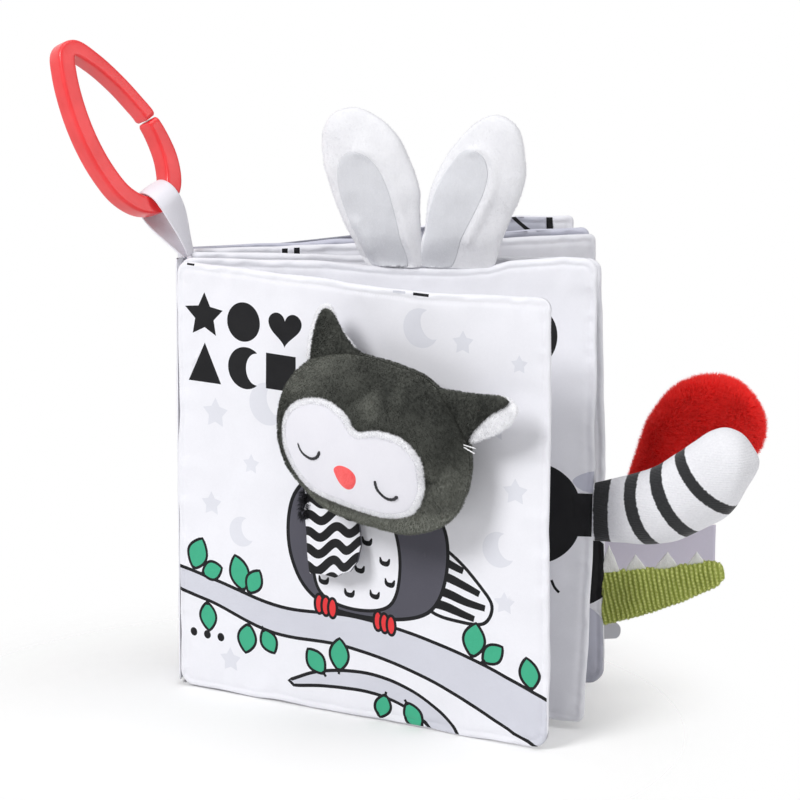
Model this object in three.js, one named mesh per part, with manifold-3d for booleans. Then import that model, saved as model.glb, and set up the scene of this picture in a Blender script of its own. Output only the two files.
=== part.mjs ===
// A crinkle cloth book for babies: six padded cloth leaves fanned out on a soft spine, a plush owl head and
// a wing flap on the front cover, two plush rabbit ears and three stuffed tails on the leaves, a blank
// label, a tab, and a split plastic ring in a ribbon loop at the top of the spine.
// Millimetres, +Z up. The origin is at the middle of the foot of the third leaf, which stands along +X with
// its spine edge at the -X end. The front cover faces -Y.
import * as THREE from "three";
import { mergeVertices } from "three/addons/utils/BufferGeometryUtils.js";
import Module from "manifold-3d";

// Fits that many pieces share
const GAP = 0.3; // between pieces that touch
const OVERRUN = 2; // how far a cutting solid passes what it cuts
const SEW_GAP = 0.5; // from a sewn-on piece to the edge that it is sewn into
const SEW_HALF = 0.4; // half the thickness of a sewn-on piece where it enters its seam
const DEGREE = Math.PI / 180;

// Leaves
const PAGE_WIDTH = 145;
const PAGE_HEIGHT = 150;
const PAGE_CORNER = 7;
const PAGE_EDGE_HALF = 0.8; // half the thickness at the sewn edge
const PAGE_CROWN_HALF = 2.1; // half the thickness in the middle
const PAGE_CROWN_REACH = 40; // from the edge to where the crown is full
const CLOTH = 0.5;
const SEAM = 3; // width of the sewn band round a leaf
const FILM = 0.2;
const FILLING_INSET = 5; // from the edge to the film and the wadding
const SPINE_PITCH = 4; // from leaf to leaf along the spine
const FOLD_RADIUS = 0.7; // of the cloth fold that joins two leaves

// Owl head
const HEAD_WIDTH = 73;
const HEAD_HEIGHT = 55;
const HEAD_FRONT = 15; // from the seam round the head to its face
const HEAD_BACK = 13; // from that seam to the back of the head
const HEAD_ALONG = 87; // from the spine edge of the cover
const HEAD_UP = 100;
const HEAD_TILT = -7; // degrees, the right side lower
const PLUSH = 1.2;
const HEAD_OPENING = 9; // radius of the opening at the back, closed by the seam to the cover
const PATCH = 0.8; // thickness of the face patch
const NOSE_WIDTH = 8.6;
const NOSE_HEIGHT = 8;
const NOSE_PROUD = 1.1;
const NOSE_TURN = -12; // degrees
const EYE_WIDTH = 9;
const EYE_DROP = 3.5;
const EYE_THREAD = 1;
const OWL_EAR_WIDTH = 21;
const OWL_EAR_HEIGHT = 20;
const OWL_EAR_THICK = 7;
const LINING = 0.8; // thickness of an ear lining

// Wing flap
const WING_WIDTH = 24;
const WING_HEIGHT = 27;
const WING_THICK = 1;
const WING_ALONG = 65;
const WING_TOP = 75.5;
const WING_LIFT = 8; // degrees off the cover

// Rabbit ears
const RABBIT_EAR_HEIGHT = 53;
const RABBIT_EAR_WIDTH = 30;
const RABBIT_EAR_THICK = 8;
const RABBIT_LEFT_BASE = 16;
const RABBIT_LEFT_ALONG = 74;
const RABBIT_LEFT_TILT = 15; // degrees
const RABBIT_RIGHT_BASE = 26;
const RABBIT_RIGHT_ALONG = 98;
const RABBIT_RIGHT_TILT = -9; // degrees

// Tails, label and tab
const STRIPED_LENGTH = 54;
const STRIPED_RISE = 25;
const STRIPED_WIDTH = 28;
const STRIPED_DEPTH = 22;
const STRIPED_UP = 68.5;
const RED_LENGTH = 67;
const RED_RISE = 26;
const RED_WIDTH = 45;
const RED_DEPTH = 16;
const RED_UP = 48;
const GREEN_LENGTH = 41;
const GREEN_RISE = 9;
const GREEN_WIDTH = 18.6;
const GREEN_DEPTH = 9;
const GREEN_UP = 30.5;
const SPIKE_WIDTH = 6.4;
const SPIKE_HEIGHT = 6.5;
const SPIKE_THICK = 1.2;
const LABEL_LENGTH = 44;
const LABEL_HEIGHT = 16;
const LABEL_THICK = 0.6;
const LABEL_UP = 29;
const TAB_LENGTH = 10;
const TAB_HEIGHT = 5.6;
const TAB_THICK = 1.6;
const TAB_UP = 5;

// Ribbon and ring
const RING_LENGTH = 60.5; // along the middle of the band
const RING_HALF_WIDTH = 13;
const RING_BAND_HALF = 3.1; // in the ring's plane
const RING_DEPTH_HALF = 3.9; // across the ring's plane
const RING_CHAMFER = 1.5;
const RING_SPLIT = 0.9;
const RING_YAW = 44; // degrees, about the ring's long axis
const RING_TILT = -30; // degrees, the top to the left
const RIBBON_WIDTH = 9;
const RIBBON_THICK = 0.6;
const RIBBON_ROOM = 1.5; // between the ring's band and the ribbon round it
const RIBBON_ALONG = 2.5; // the foot of the ribbon, from the spine edge
const RIBBON_FOOT_TURN = 75; // degrees, of the ribbon's width at its foot from the leaf
const HANG_LEFT = 9.8; // from the foot of the ribbon to the middle of the ring's band
const HANG_UP = 18.4;
const HANG_FORWARD = 1;

// Angles in degrees about +Z: negative leans towards the front. A twist turns the top back and the foot
// forward.
const LEAF_PLAN = [
  { name: "front_cover", lean: -27, twist: 0 },
  { name: "leaf_2", lean: -12, twist: 13 },
  { name: "leaf_3", lean: 0, twist: 0 },
  { name: "leaf_4", lean: 13, twist: 0 },
  { name: "leaf_5", lean: 17, twist: 0 },
  { name: "back_cover", lean: 23, twist: 0 },
];
const root_leaf = LEAF_PLAN.findIndex((plan) => plan.name === "leaf_3"); // the others hang on it

const wasm = await Module();
wasm.setup();

// Meshes and solids

function signedVolume(points, faces) {
  let total = 0;
  for (let i = 0; i < faces.length; i += 3) {
    const [a, b, c] = [points[faces[i]], points[faces[i + 1]], points[faces[i + 2]]];
    total += a.dot(b.clone().cross(c));
  }
  return total;
}

// A closed surface through a row of loops that have equally many points, closed by a tip point at each end.
// The second half's quads are split the other way, so that a front and a back with the same rings match.
function skin(firstTip, loops, lastTip) {
  const points = [firstTip, ...loops.flat(), lastTip];
  const count = loops[0].length;
  const last = points.length - 1;
  const at = (row, k) => 1 + row * count + (k % count);
  const faces = [];
  for (let k = 0; k < count; k++) {
    faces.push(0, at(0, k + 1), at(0, k));
    faces.push(last, at(loops.length - 1, k), at(loops.length - 1, k + 1));
  }
  for (let row = 0; row + 1 < loops.length; row++) {
    for (let k = 0; k < count; k++) {
      const [a, b, c, d] = [at(row, k), at(row, k + 1), at(row + 1, k), at(row + 1, k + 1)];
      const quad = row < loops.length / 2 ? [a, b, c, b, d, c] : [a, b, d, a, d, c];
      faces.push(...quad);
    }
  }
  if (signedVolume(points, faces) < 0) faces.reverse();
  const geometry = new THREE.BufferGeometry().setFromPoints(points);
  geometry.setIndex(faces);
  return geometry;
}

function solidOf(geometry) {
  const bare = geometry.clone();
  bare.deleteAttribute("normal");
  bare.deleteAttribute("uv");
  const merged = mergeVertices(bare);
  const vertProperties = new Float32Array(merged.getAttribute("position").array);
  const triVerts = new Uint32Array(merged.index.array);
  return new wasm.Manifold(new wasm.Mesh({ numProp: 3, vertProperties, triVerts }));
}

function geometryOf(solid) {
  const mesh = solid.getMesh();
  const geometry = new THREE.BufferGeometry();
  geometry.setAttribute("position", new THREE.BufferAttribute(mesh.vertProperties, mesh.numProp));
  geometry.setIndex(new THREE.BufferAttribute(mesh.triVerts, 1));
  return geometry;
}

function cut(geometry, ...cutters) {
  return geometryOf(cutters.reduce((solid, cutter) => solid.subtract(solidOf(cutter)), solidOf(geometry)));
}

function common(geometry, other) {
  return geometryOf(solidOf(geometry).intersect(solidOf(other)));
}

function piece(name, geometry, colour, roughness) {
  geometry.computeVertexNormals();
  const material = new THREE.MeshStandardMaterial({ color: colour, roughness, metalness: 0 });
  const mesh = new THREE.Mesh(geometry, material);
  mesh.name = name;
  return mesh;
}

// Outlines are rows of Vector2: x along the leaf and y up.

function closedCurve(rows, width, height, count) {
  const corners = rows.map(([along, up]) => new THREE.Vector3(along * width, up * height, 0));
  const curve = new THREE.CatmullRomCurve3(corners, true, "centripetal");
  return curve.getSpacedPoints(count).slice(0, count).map((p) => new THREE.Vector2(p.x, p.y));
}

function turned(outline, degrees) {
  return outline.map((p) => p.clone().rotateAround(new THREE.Vector2(), degrees * DEGREE));
}

function moved(outline, along, up) {
  return outline.map((p) => new THREE.Vector2(p.x + along, p.y + up));
}

// A straight prism of an outline, which stands in the XZ plane, from y = front to y = back.
function prism(outline, front, back) {
  const shape = new THREE.Shape(outline);
  const geometry = new THREE.ExtrudeGeometry(shape, { depth: back - front, bevelEnabled: false });
  return geometry.rotateX(Math.PI / 2).translate(0, back, 0);
}

const PILLOW_TURNS = [18, 36, 54, 72, 90]; // degrees from the middle of a padded form to its seam

// A padded form in an outline, swelling to front and back of the seam round it. Grow makes it larger all
// round.
function pillow(outline, centre, sizes, grow = 0) {
  const { front, back, edge } = sizes;
  const ring = (share, depth) =>
    outline.map((p) => {
      const out = p.clone().sub(centre);
      out.setLength(out.length() + grow).multiplyScalar(share).add(centre);
      return new THREE.Vector3(out.x, depth, out.y);
    });
  const swell = (depth, turn) => edge + grow + (depth - edge) * Math.cos(turn * DEGREE);
  const spread = (turn) => Math.sin(turn * DEGREE);
  const loops = [
    ...PILLOW_TURNS.map((turn) => ring(spread(turn), -swell(front, turn))),
    ...PILLOW_TURNS.toReversed().map((turn) => ring(spread(turn), swell(back, turn))),
  ];
  const tip = (depth) => new THREE.Vector3(centre.x, depth, centre.y);
  return skin(tip(-front - grow), loops, tip(back + grow));
}

// Leaves

const half_width = PAGE_WIDTH / 2;
const half_height = PAGE_HEIGHT / 2;

function pageOutline() {
  const shape = new THREE.Shape();
  shape.moveTo(PAGE_CORNER, 0);
  shape.lineTo(PAGE_WIDTH - PAGE_CORNER, 0);
  shape.absarc(PAGE_WIDTH - PAGE_CORNER, PAGE_CORNER, PAGE_CORNER, -Math.PI / 2, 0);
  shape.lineTo(PAGE_WIDTH, PAGE_HEIGHT - PAGE_CORNER);
  shape.absarc(PAGE_WIDTH - PAGE_CORNER, PAGE_HEIGHT - PAGE_CORNER, PAGE_CORNER, 0, Math.PI / 2);
  shape.lineTo(PAGE_CORNER, PAGE_HEIGHT);
  shape.absarc(PAGE_CORNER, PAGE_HEIGHT - PAGE_CORNER, PAGE_CORNER, Math.PI / 2, Math.PI);
  shape.lineTo(0, PAGE_CORNER);
  shape.absarc(PAGE_CORNER, PAGE_CORNER, PAGE_CORNER, Math.PI, Math.PI * 1.5);
  const points = [];
  for (const side of shape.curves) {
    const steps = side.isLineCurve ? 3 : 2;
    points.push(...side.getPoints(steps).slice(0, steps));
  }
  return points;
}

const page_outline = pageOutline();
const crown = (inset) => {
  const rest = 1 - Math.min(inset / PAGE_CROWN_REACH, 1);
  return PAGE_EDGE_HALF + (PAGE_CROWN_HALF - PAGE_EDGE_HALF) * (1 - rest * rest);
};
const crown_insets = [FILLING_INSET, PAGE_CROWN_REACH / 3, PAGE_CROWN_REACH];

// The page's outline drawn in by an inset, at a depth, with the leaf's twist about its spine edge.
function pageLoop(inset, depth, twist) {
  const narrow = (half_width - inset) / half_width;
  const low = (half_height - inset) / half_height;
  return page_outline.map((p) => {
    const along = half_width + (p.x - half_width) * narrow;
    const up = half_height + (p.y - half_height) * low;
    return twistedPoint(along, depth, up, twist);
  });
}

function twistedPoint(along, depth, up, twist) {
  const turn = twist * DEGREE * (up / PAGE_HEIGHT - 1 / 2);
  return new THREE.Vector3(along, depth, up).applyAxisAngle(new THREE.Vector3(0, 0, 1), turn);
}

// The cloth of one side: a shallow pan whose rim meets the other side's at the seam. Side is -1 for the
// front.
function pageCloth(side, twist) {
  const rim = GAP / 2;
  const middle = (depth) => twistedPoint(half_width, depth, half_height, twist);
  const loopAt = (inset, depth) => pageLoop(inset, side * depth, twist);
  const outer = [...crown_insets.toReversed(), SEAM, 0].map((inset) => loopAt(inset, crown(inset)));
  const seam = [0, SEAM].map((inset) => loopAt(inset, rim));
  const inner = [SEAM, ...crown_insets].map((inset) => loopAt(inset, crown(inset) - CLOTH));
  return skin(
    middle(side * PAGE_CROWN_HALF),
    [...outer, ...seam, ...inner],
    middle(side * (PAGE_CROWN_HALF - CLOTH)),
  );
}

// A layer inside a leaf, between a front and a back depth that follow from the crown.
function pageLayer(front, back, twist) {
  const loops = [
    ...crown_insets.toReversed().map((inset) => pageLoop(inset, front(crown(inset)), twist)),
    ...crown_insets.map((inset) => pageLoop(inset, back(crown(inset)), twist)),
  ];
  const middle = (depth) => twistedPoint(half_width, depth, half_height, twist);
  return skin(middle(front(PAGE_CROWN_HALF)), loops, middle(back(PAGE_CROWN_HALF)));
}

function leaf({ name, twist }, frontColour, backColour) {
  const below_cloth = CLOTH + GAP;
  const below_film = below_cloth + FILM;
  const film = pageLayer((c) => below_cloth - c, (c) => below_film - c, twist);
  const wadding = pageLayer((c) => below_film + GAP - c, (c) => c - below_cloth, twist);
  const group = new THREE.Group();
  group.add(
    piece(name + "_front_cloth", pageCloth(-1, twist), frontColour, 0.9),
    piece(name + "_back_cloth", pageCloth(1, twist), backColour, 0.9),
    piece(name + "_crinkle_film", film, 0xd8e2ea, 0.3),
    piece(name + "_wadding", wadding, 0xf4f4ef, 1),
  );
  return group;
}

// The cloth fold that joins two leaves: a thin upright roll on their common turning line.
function spineFold(name) {
  const height = PAGE_HEIGHT - 2 * PAGE_CORNER;
  const roll = new THREE.CylinderGeometry(FOLD_RADIUS, FOLD_RADIUS, height, 8);
  roll.rotateX(Math.PI / 2).translate(0, 0, PAGE_HEIGHT / 2);
  return piece(name, roll, 0xf2f2f6, 0.9);
}

// Owl head, in a frame whose XZ origin is the head's middle and whose y = 0 is the seam round it

const HEAD_OUTLINE_SHARES = [
  [0.5, -0.06], [0.44, 0.24], [0.25, 0.45], [0, 0.5], [-0.26, 0.47], [-0.44, 0.27],
  [-0.485, -0.02], [-0.4, -0.29], [-0.2, -0.46], [0.04, -0.5], [0.28, -0.47], [0.44, -0.33],
];
const FACE_OUTLINE_SHARES = [
  [0.342, -0.14], [0.322, -0.005], [0.238, 0.104], [0.122, 0.135], [0.03, 0.12], [-0.033, 0.207],
  [-0.125, 0.267], [-0.233, 0.265], [-0.342, 0.198], [-0.389, 0.093], [-0.384, -0.056], [-0.325, -0.191],
  [-0.237, -0.296], [-0.101, -0.345], [0.023, -0.378], [0.173, -0.396], [0.279, -0.353], [0.336, -0.225],
];
const head_middle = new THREE.Vector2();
const head_outline = turned(closedCurve(HEAD_OUTLINE_SHARES, HEAD_WIDTH, HEAD_HEIGHT, 24), HEAD_TILT);
const head_sizes = { front: HEAD_FRONT, back: HEAD_BACK, edge: 0 };
const headForm = (grow) => pillow(head_outline, head_middle, head_sizes, grow);

// An outline placed by shares of the head's width and height from its middle.
function onHead(outline, [along, up]) {
  return moved(outline, along * HEAD_WIDTH, up * HEAD_HEIGHT);
}

// A thin piece that follows the head's face: the part between two heights off it that lies in an outline.
function onFace(outline, from, to) {
  const post = prism(outline, -HEAD_FRONT - to - OVERRUN, 0);
  return cut(common(headForm(to), post), headForm(from));
}

function owlHeadPlush() {
  const opening = new THREE.CylinderGeometry(HEAD_OPENING, HEAD_OPENING, HEAD_BACK + OVERRUN, 16);
  opening.translate(0, (HEAD_BACK + OVERRUN) / 2, 0);
  return piece("owl_head_plush", cut(headForm(0), headForm(-PLUSH), opening), 0x4e504b, 0.95);
}

function owlStuffing() {
  return piece("owl_head_stuffing", headForm(-PLUSH - GAP), 0xf5f5f2, 1);
}

function owlFacePatch() {
  const outline = closedCurve(FACE_OUTLINE_SHARES, HEAD_WIDTH, HEAD_HEIGHT, 32);
  return piece("owl_face_patch", onFace(outline, GAP, GAP + PATCH), 0xf4f4f4, 0.95);
}

const NOSE_SHARES = [
  [0.5, 0.14], [0.28, 0.46], [-0.28, 0.46], [-0.5, 0.14], [-0.24, -0.4], [0, -0.5], [0.24, -0.4],
];
const NOSE_PLACE_SHARES = [-0.018, -0.157];
const above_patch = GAP + PATCH + GAP;

function owlNose() {
  const nose = closedCurve(NOSE_SHARES, NOSE_WIDTH, NOSE_HEIGHT, 14);
  const outline = onHead(turned(nose, NOSE_TURN), NOSE_PLACE_SHARES);
  return piece("owl_nose", onFace(outline, above_patch, above_patch + NOSE_PROUD), 0xf0646a, 0.6);
}

// Closed eyelids: each is a line of thread that hangs between its ends, drawn as a curved band's outline.
const EYES = [
  { name: "owl_eye_left", place_shares: [-0.21, -0.013], turn: -7 },
  { name: "owl_eye_right", place_shares: [0.182, -0.192], turn: -31 },
];
const LID_SHARES = [-1, -0.8, -0.4, 0, 0.4, 0.8, 1];

function owlEye({ name, place_shares, turn }) {
  const line = (side) =>
    LID_SHARES.map((t) => {
      const drop = EYE_DROP * (1 - t * t);
      return new THREE.Vector2((t * EYE_WIDTH) / 2, (side * EYE_THREAD) / 2 - drop);
    });
  const band = [...line(1), ...line(-1).toReversed()];
  const outline = onHead(turned(band, turn), place_shares);
  return piece(name, onFace(outline, above_patch, above_patch + EYE_THREAD / 2), 0x2b2b2e, 0.7);
}

// Small pointed ears that stand on the head's seam and are cut to it. The lining is on an ear's front
// where side is -1 and on its back where it is 1, and off_share of the ear's width away from its middle.
const OWL_EARS = [
  { name: "owl_ear_left", place_shares: [-0.2, 0.43], turn: 8, mirror: 1, side: 1, off_share: 0 },
  { name: "owl_ear_right", place_shares: [0.4, 0.2], turn: -62, mirror: -1, side: -1, off_share: 0.3 },
];
const OWL_EAR_SHARES = [
  [0.5, 0], [0.34, 0.34], [0.08, 0.78], [-0.08, 1], [-0.3, 0.72], [-0.46, 0.34], [-0.5, 0], [0, -0.3],
];
const OWL_LINING_SHARE = 0.62;

function owlEar({ name, place_shares, turn, mirror, side, off_share }) {
  const rows = OWL_EAR_SHARES.map(([x, y]) => [x * mirror, y]);
  const upright = closedCurve(rows, OWL_EAR_WIDTH, OWL_EAR_HEIGHT, 20);
  const outline = onHead(turned(upright, turn), place_shares);
  const [centre] = onHead(turned([new THREE.Vector2(0, OWL_EAR_HEIGHT / 4)], turn), place_shares);
  const sizes = { front: OWL_EAR_THICK / 2, back: OWL_EAR_THICK / 2, edge: SEW_HALF };
  const form = (grow) => pillow(outline, centre, sizes, grow);
  const [off] = turned([new THREE.Vector2(off_share * OWL_EAR_WIDTH, 0)], turn);
  const lined = centre.clone().add(off);
  const patch = outline.map((p) => p.clone().sub(centre).multiplyScalar(OWL_LINING_SHARE).add(lined));
  const deep = side * (OWL_EAR_THICK + OVERRUN);
  const post = prism(patch, Math.min(deep, 0), Math.max(deep, 0));
  const lining = cut(common(form(GAP + LINING), post), form(GAP), headForm(GAP));
  return [
    piece(name, cut(form(0), headForm(GAP)), 0x4e504b, 0.95),
    piece(name + "_lining", lining, 0xf1f1ef, 0.95),
  ];
}

function owlHead() {
  const group = new THREE.Group();
  group.add(
    owlHeadPlush(),
    owlStuffing(),
    owlFacePatch(),
    owlNose(),
    ...EYES.map(owlEye),
    ...OWL_EARS.flatMap(owlEar),
  );
  return group;
}

// Wing flap, in a frame at the middle of its sewn top edge

const WING_SHARES = [
  [-0.5, 0], [0.5, 0], [0.62, -0.3], [0.45, -0.62], [0.4, -0.9], [0.16, -1], [-0.2, -0.98], [-0.42, -0.8],
  [-0.46, -0.5], [-0.56, -0.3],
];

function wingFlap() {
  const outline = WING_SHARES.map(([x, y]) => new THREE.Vector2(x * WING_WIDTH, y * WING_HEIGHT));
  return piece("wing_flap", prism(outline, -WING_THICK, 0), 0x3a3a3e, 0.9);
}

// Rabbit ears, in a frame at the middle of the sewn base

const RABBIT_EAR_SHARES = [
  [0.48, 0.3], [0.5, 0.58], [0.44, 0.78], [0.28, 0.94], [0, 1],
  [-0.28, 0.94], [-0.44, 0.78], [-0.5, 0.58], [-0.48, 0.3],
];
const RABBIT_CENTRE_SHARE = 0.52;
const INNER_EAR_SHARE = 0.64;

function rabbitEar(name, base, tilt) {
  const shear = (up) => -up * Math.tan(tilt * DEGREE);
  const foot = base / RABBIT_EAR_WIDTH / 2;
  const rows = [[foot, 0], ...RABBIT_EAR_SHARES, [-foot, 0]];
  const upright = closedCurve(rows, RABBIT_EAR_WIDTH, RABBIT_EAR_HEIGHT, 26);
  const outline = upright.map((p) => new THREE.Vector2(p.x + shear(p.y), Math.max(p.y, 0)));
  const middle = RABBIT_EAR_HEIGHT * RABBIT_CENTRE_SHARE;
  const centre = new THREE.Vector2(shear(middle), middle);
  const half = RABBIT_EAR_THICK / 2;
  const form = (grow) => pillow(outline, centre, { front: half, back: half, edge: SEW_HALF }, grow);
  const inner = outline.map((p) => p.clone().sub(centre).multiplyScalar(INNER_EAR_SHARE).add(centre));
  const post = prism(inner, -RABBIT_EAR_THICK, 0);
  const lining = cut(common(form(GAP + LINING), post), form(GAP));
  const group = new THREE.Group();
  group.add(piece(name + "_plush", form(0), 0xf5f5f7, 0.95), piece(name + "_inner", lining, 0xd9dadf, 0.95));
  return group;
}

// Tails, in a frame at the middle of the sewn root, running out along +X

// Rows of shares: along the length, up the rise, and of the full girth.
const STRIPED_SHARES = [
  [0, 0, 0.74], [0.09, 0.03, 0.76], [0.2, 0.1, 0.8], [0.36, 0.24, 0.88], [0.54, 0.44, 0.95], [0.72, 0.68, 1],
  [0.86, 0.86, 0.92], [0.95, 0.95, 0.66],
];
const RED_SHARES = [
  [0, 0, 0.3], [0.1, 0.03, 0.34], [0.22, 0.14, 0.44], [0.36, 0.4, 0.64], [0.5, 0.68, 0.92], [0.64, 0.9, 1],
  [0.8, 1, 0.88], [0.93, 1, 0.56],
];
const GREEN_SHARES = [
  [0, 0, 1], [0.1, 0.07, 0.98], [0.29, 0.27, 0.89], [0.49, 0.5, 0.76], [0.73, 0.77, 0.61],
  [0.93, 0.96, 0.46],
];
const TAIL_POINTS = 14;
const THIN_ROW_COUNT = 3; // rows of shares from the root to where a tail is full in depth

// A stuffed tail: oval sections across a rising line, thin at the seam that it is sewn into.
function tailForm({ length, rise, width, depth, shares }, grow = 0) {
  const line = shares.map(([x, z]) => new THREE.Vector2(x * length, z * rise));
  const tip = new THREE.Vector2(length + grow, rise);
  const loops = line.map((centre, row) => {
    const before = line[Math.max(row - 1, 0)];
    const after = line[row + 1] ?? tip;
    const ahead = row === 0 ? new THREE.Vector2(1, 0) : after.clone().sub(before).normalize();
    const across = new THREE.Vector2(-ahead.y, ahead.x);
    const girth = shares[row][2];
    const thin = Math.min(1, shares[row][0] / shares[THIN_ROW_COUNT][0]);
    const deep = grow + SEW_HALF + ((depth / 2) * girth - SEW_HALF) * Math.sin((thin * Math.PI) / 2);
    const high = grow + (width / 2) * girth;
    return Array.from({ length: TAIL_POINTS }, (_, k) => {
      const turn = (k / TAIL_POINTS) * Math.PI * 2;
      const up = high * Math.cos(turn);
      return new THREE.Vector3(centre.x + across.x * up, deep * Math.sin(turn), centre.y + across.y * up);
    });
  });
  return skin(new THREE.Vector3(-grow, 0, 0), loops, new THREE.Vector3(tip.x, 0, tip.y));
}

const striped = {
  length: STRIPED_LENGTH, rise: STRIPED_RISE, width: STRIPED_WIDTH, depth: STRIPED_DEPTH,
  shares: STRIPED_SHARES,
};
const red = { length: RED_LENGTH, rise: RED_RISE, width: RED_WIDTH, depth: RED_DEPTH, shares: RED_SHARES };
const green = {
  length: GREEN_LENGTH, rise: GREEN_RISE, width: GREEN_WIDTH, depth: GREEN_DEPTH, shares: GREEN_SHARES,
};

// Felt spikes stand on the green tail's back, one at each inner row of its shares, and are cut to it.
const SPIKE_SHARES = [
  [0.5, 0], [0.42, 0.5], [0.12, 1], [-0.12, 1], [-0.42, 0.5], [-0.5, 0], [-0.5, -0.6], [0.5, -0.6],
];

function greenTail() {
  const group = new THREE.Group();
  group.add(piece("green_tail", tailForm(green), 0x93ab45, 0.95));
  const outline = SPIKE_SHARES.map(([x, y]) => new THREE.Vector2(x * SPIKE_WIDTH, y * SPIKE_HEIGHT));
  for (const [k, [along, up, girth]] of GREEN_SHARES.slice(1, -1).entries()) {
    const back = up * GREEN_RISE + (girth * GREEN_WIDTH) / 2;
    const spike = prism(moved(outline, along * GREEN_LENGTH, back), -SPIKE_THICK / 2, SPIKE_THICK / 2);
    group.add(piece("felt_spike_" + (k + 1), cut(spike, tailForm(green, GAP)), 0xf6f6f2, 0.95));
  }
  return group;
}

// A flat strip with a rounded free end, sewn in by its other end.
function strip(length, height, thick, corner) {
  const shape = new THREE.Shape();
  shape.moveTo(0, 0);
  shape.lineTo(length - corner, 0);
  shape.absarc(length - corner, corner, corner, -Math.PI / 2, 0);
  shape.lineTo(length, height - corner);
  shape.absarc(length - corner, height - corner, corner, 0, Math.PI / 2);
  shape.lineTo(0, height);
  return prism(shape.getPoints(4), -thick / 2, thick / 2);
}

// Ring, in its own plane XZ with the middle of its band's foot at the origin

// Rows of shares: of the half width and of the length, from one side of the split round to the other.
const RING_LINE_SHARES = [
  [0.98, 0.47], [1, 0.34], [0.86, 0.17], [0.5, 0.04], [0, 0], [-0.5, 0.04], [-0.86, 0.15], [-1, 0.31],
  [-0.98, 0.5], [-0.8, 0.7], [-0.48, 0.89], [-0.2, 0.985], [0.06, 0.98], [0.42, 0.86], [0.74, 0.68],
  [0.95, 0.5],
];
const RING_HANG_SHARE = 0.25; // along the band, where the ribbon holds it
const RING_STEPS = 44;

function ringLine() {
  const point = ([x, z]) => new THREE.Vector3(x * RING_HALF_WIDTH, 0, z * RING_LENGTH);
  return new THREE.CatmullRomCurve3(RING_LINE_SHARES.map(point), false, "centripetal");
}

const ring_line = ringLine();
const hang_point = ring_line.getPointAt(RING_HANG_SHARE);
const hang_way = ring_line.getTangentAt(RING_HANG_SHARE);

function ring() {
  const flat_band = RING_BAND_HALF - RING_CHAMFER;
  const flat_depth = RING_DEPTH_HALF - RING_CHAMFER;
  const section = [
    [RING_BAND_HALF, -flat_depth], [RING_BAND_HALF, flat_depth], [flat_band, RING_DEPTH_HALF],
    [-flat_band, RING_DEPTH_HALF], [-RING_BAND_HALF, flat_depth], [-RING_BAND_HALF, -flat_depth],
    [-flat_band, -RING_DEPTH_HALF], [flat_band, -RING_DEPTH_HALF],
  ];
  const trim = RING_SPLIT / 2 / ring_line.getLength();
  const loops = [];
  for (let step = 0; step <= RING_STEPS; step++) {
    const share = trim + (1 - 2 * trim) * (step / RING_STEPS);
    const centre = ring_line.getPointAt(share);
    const way = ring_line.getTangentAt(share);
    const out = new THREE.Vector3(way.z, 0, -way.x);
    loops.push(section.map(([o, d]) => centre.clone().addScaledVector(out, o).setY(d)));
  }
  const ends = [trim, 1 - trim].map((share) => ring_line.getPointAt(share));
  return piece("link_ring", skin(ends[0], loops, ends[1]), 0xe24a4c, 0.35);
}

// Ribbon: from its foot up the front of the ring's band, over it and down the back to its foot again

const hang_offset = new THREE.Vector3(-HANG_LEFT, -HANG_FORWARD, HANG_UP);
const ring_turn = new THREE.Euler(0, RING_TILT * DEGREE, RING_YAW * DEGREE, "YZX");
const hang_axis = hang_way.clone().applyEuler(ring_turn);
const foot_turn = RIBBON_FOOT_TURN * DEGREE;
const foot_way = new THREE.Vector3(Math.cos(foot_turn), Math.sin(foot_turn), 0);
const RIBBON_STEPS = 14;

// The ribbon's line, as pairs of the height along its middle and the distance to the side of it.
function ribbonPath(reach) {
  const foot_gap = GAP / 2 + RIBBON_THICK / 2;
  const band = Math.max(
    Math.hypot(RING_BAND_HALF, RING_DEPTH_HALF - RING_CHAMFER),
    Math.hypot(RING_BAND_HALF - RING_CHAMFER, RING_DEPTH_HALF),
  );
  const round = band + RIBBON_ROOM + RIBBON_THICK / 2;
  const spread = foot_gap + (round - foot_gap) / 3;
  const lean = Math.asin((round - foot_gap) / reach);
  const bend = Array.from({ length: RIBBON_STEPS + 1 }, (_, step) => {
    const turn = -lean + (Math.PI + 2 * lean) * (step / RIBBON_STEPS);
    return [reach + round * Math.sin(turn), round * Math.cos(turn)];
  });
  return [[0, foot_gap], [reach / 3, spread], ...bend, [reach / 3, -spread], [0, -foot_gap]];
}

function ribbonLoop() {
  const up = hang_offset.clone().normalize();
  const reach = hang_offset.length();
  const path = ribbonPath(reach);
  const last = path.length - 1;
  const loops = path.map(([height, off], k) => {
    const [low, near] = path[Math.max(k - 1, 0)];
    const [high, far] = path[Math.min(k + 1, last)];
    const share = Math.min(Math.max(height / reach, 0), 1);
    const wide = foot_way.clone().lerp(hang_axis.clone().negate(), share);
    wide.addScaledVector(up, -wide.dot(up)).normalize();
    if (k === 0 || k === last) wide.copy(foot_way);
    const side = wide.clone().cross(up).normalize();
    const centre = up.clone().multiplyScalar(height).addScaledVector(side, off);
    const way = up.clone().multiplyScalar(high - low).addScaledVector(side, far - near).normalize();
    const thin = wide.clone().cross(way).normalize();
    return [[-1, -1], [1, -1], [1, 1], [-1, 1]].map(([across, through]) => {
      const place = centre.clone().addScaledVector(wide, (across * RIBBON_WIDTH) / 2);
      return place.addScaledVector(thin, (through * RIBBON_THICK) / 2);
    });
  });
  const middleOf = ([first, , opposite]) => first.clone().lerp(opposite, 1 / 2);
  return piece("ribbon_loop", skin(middleOf(loops[0]), loops, middleOf(loops.at(-1))), 0xf0eef4, 0.4);
}

// Assembly

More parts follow.
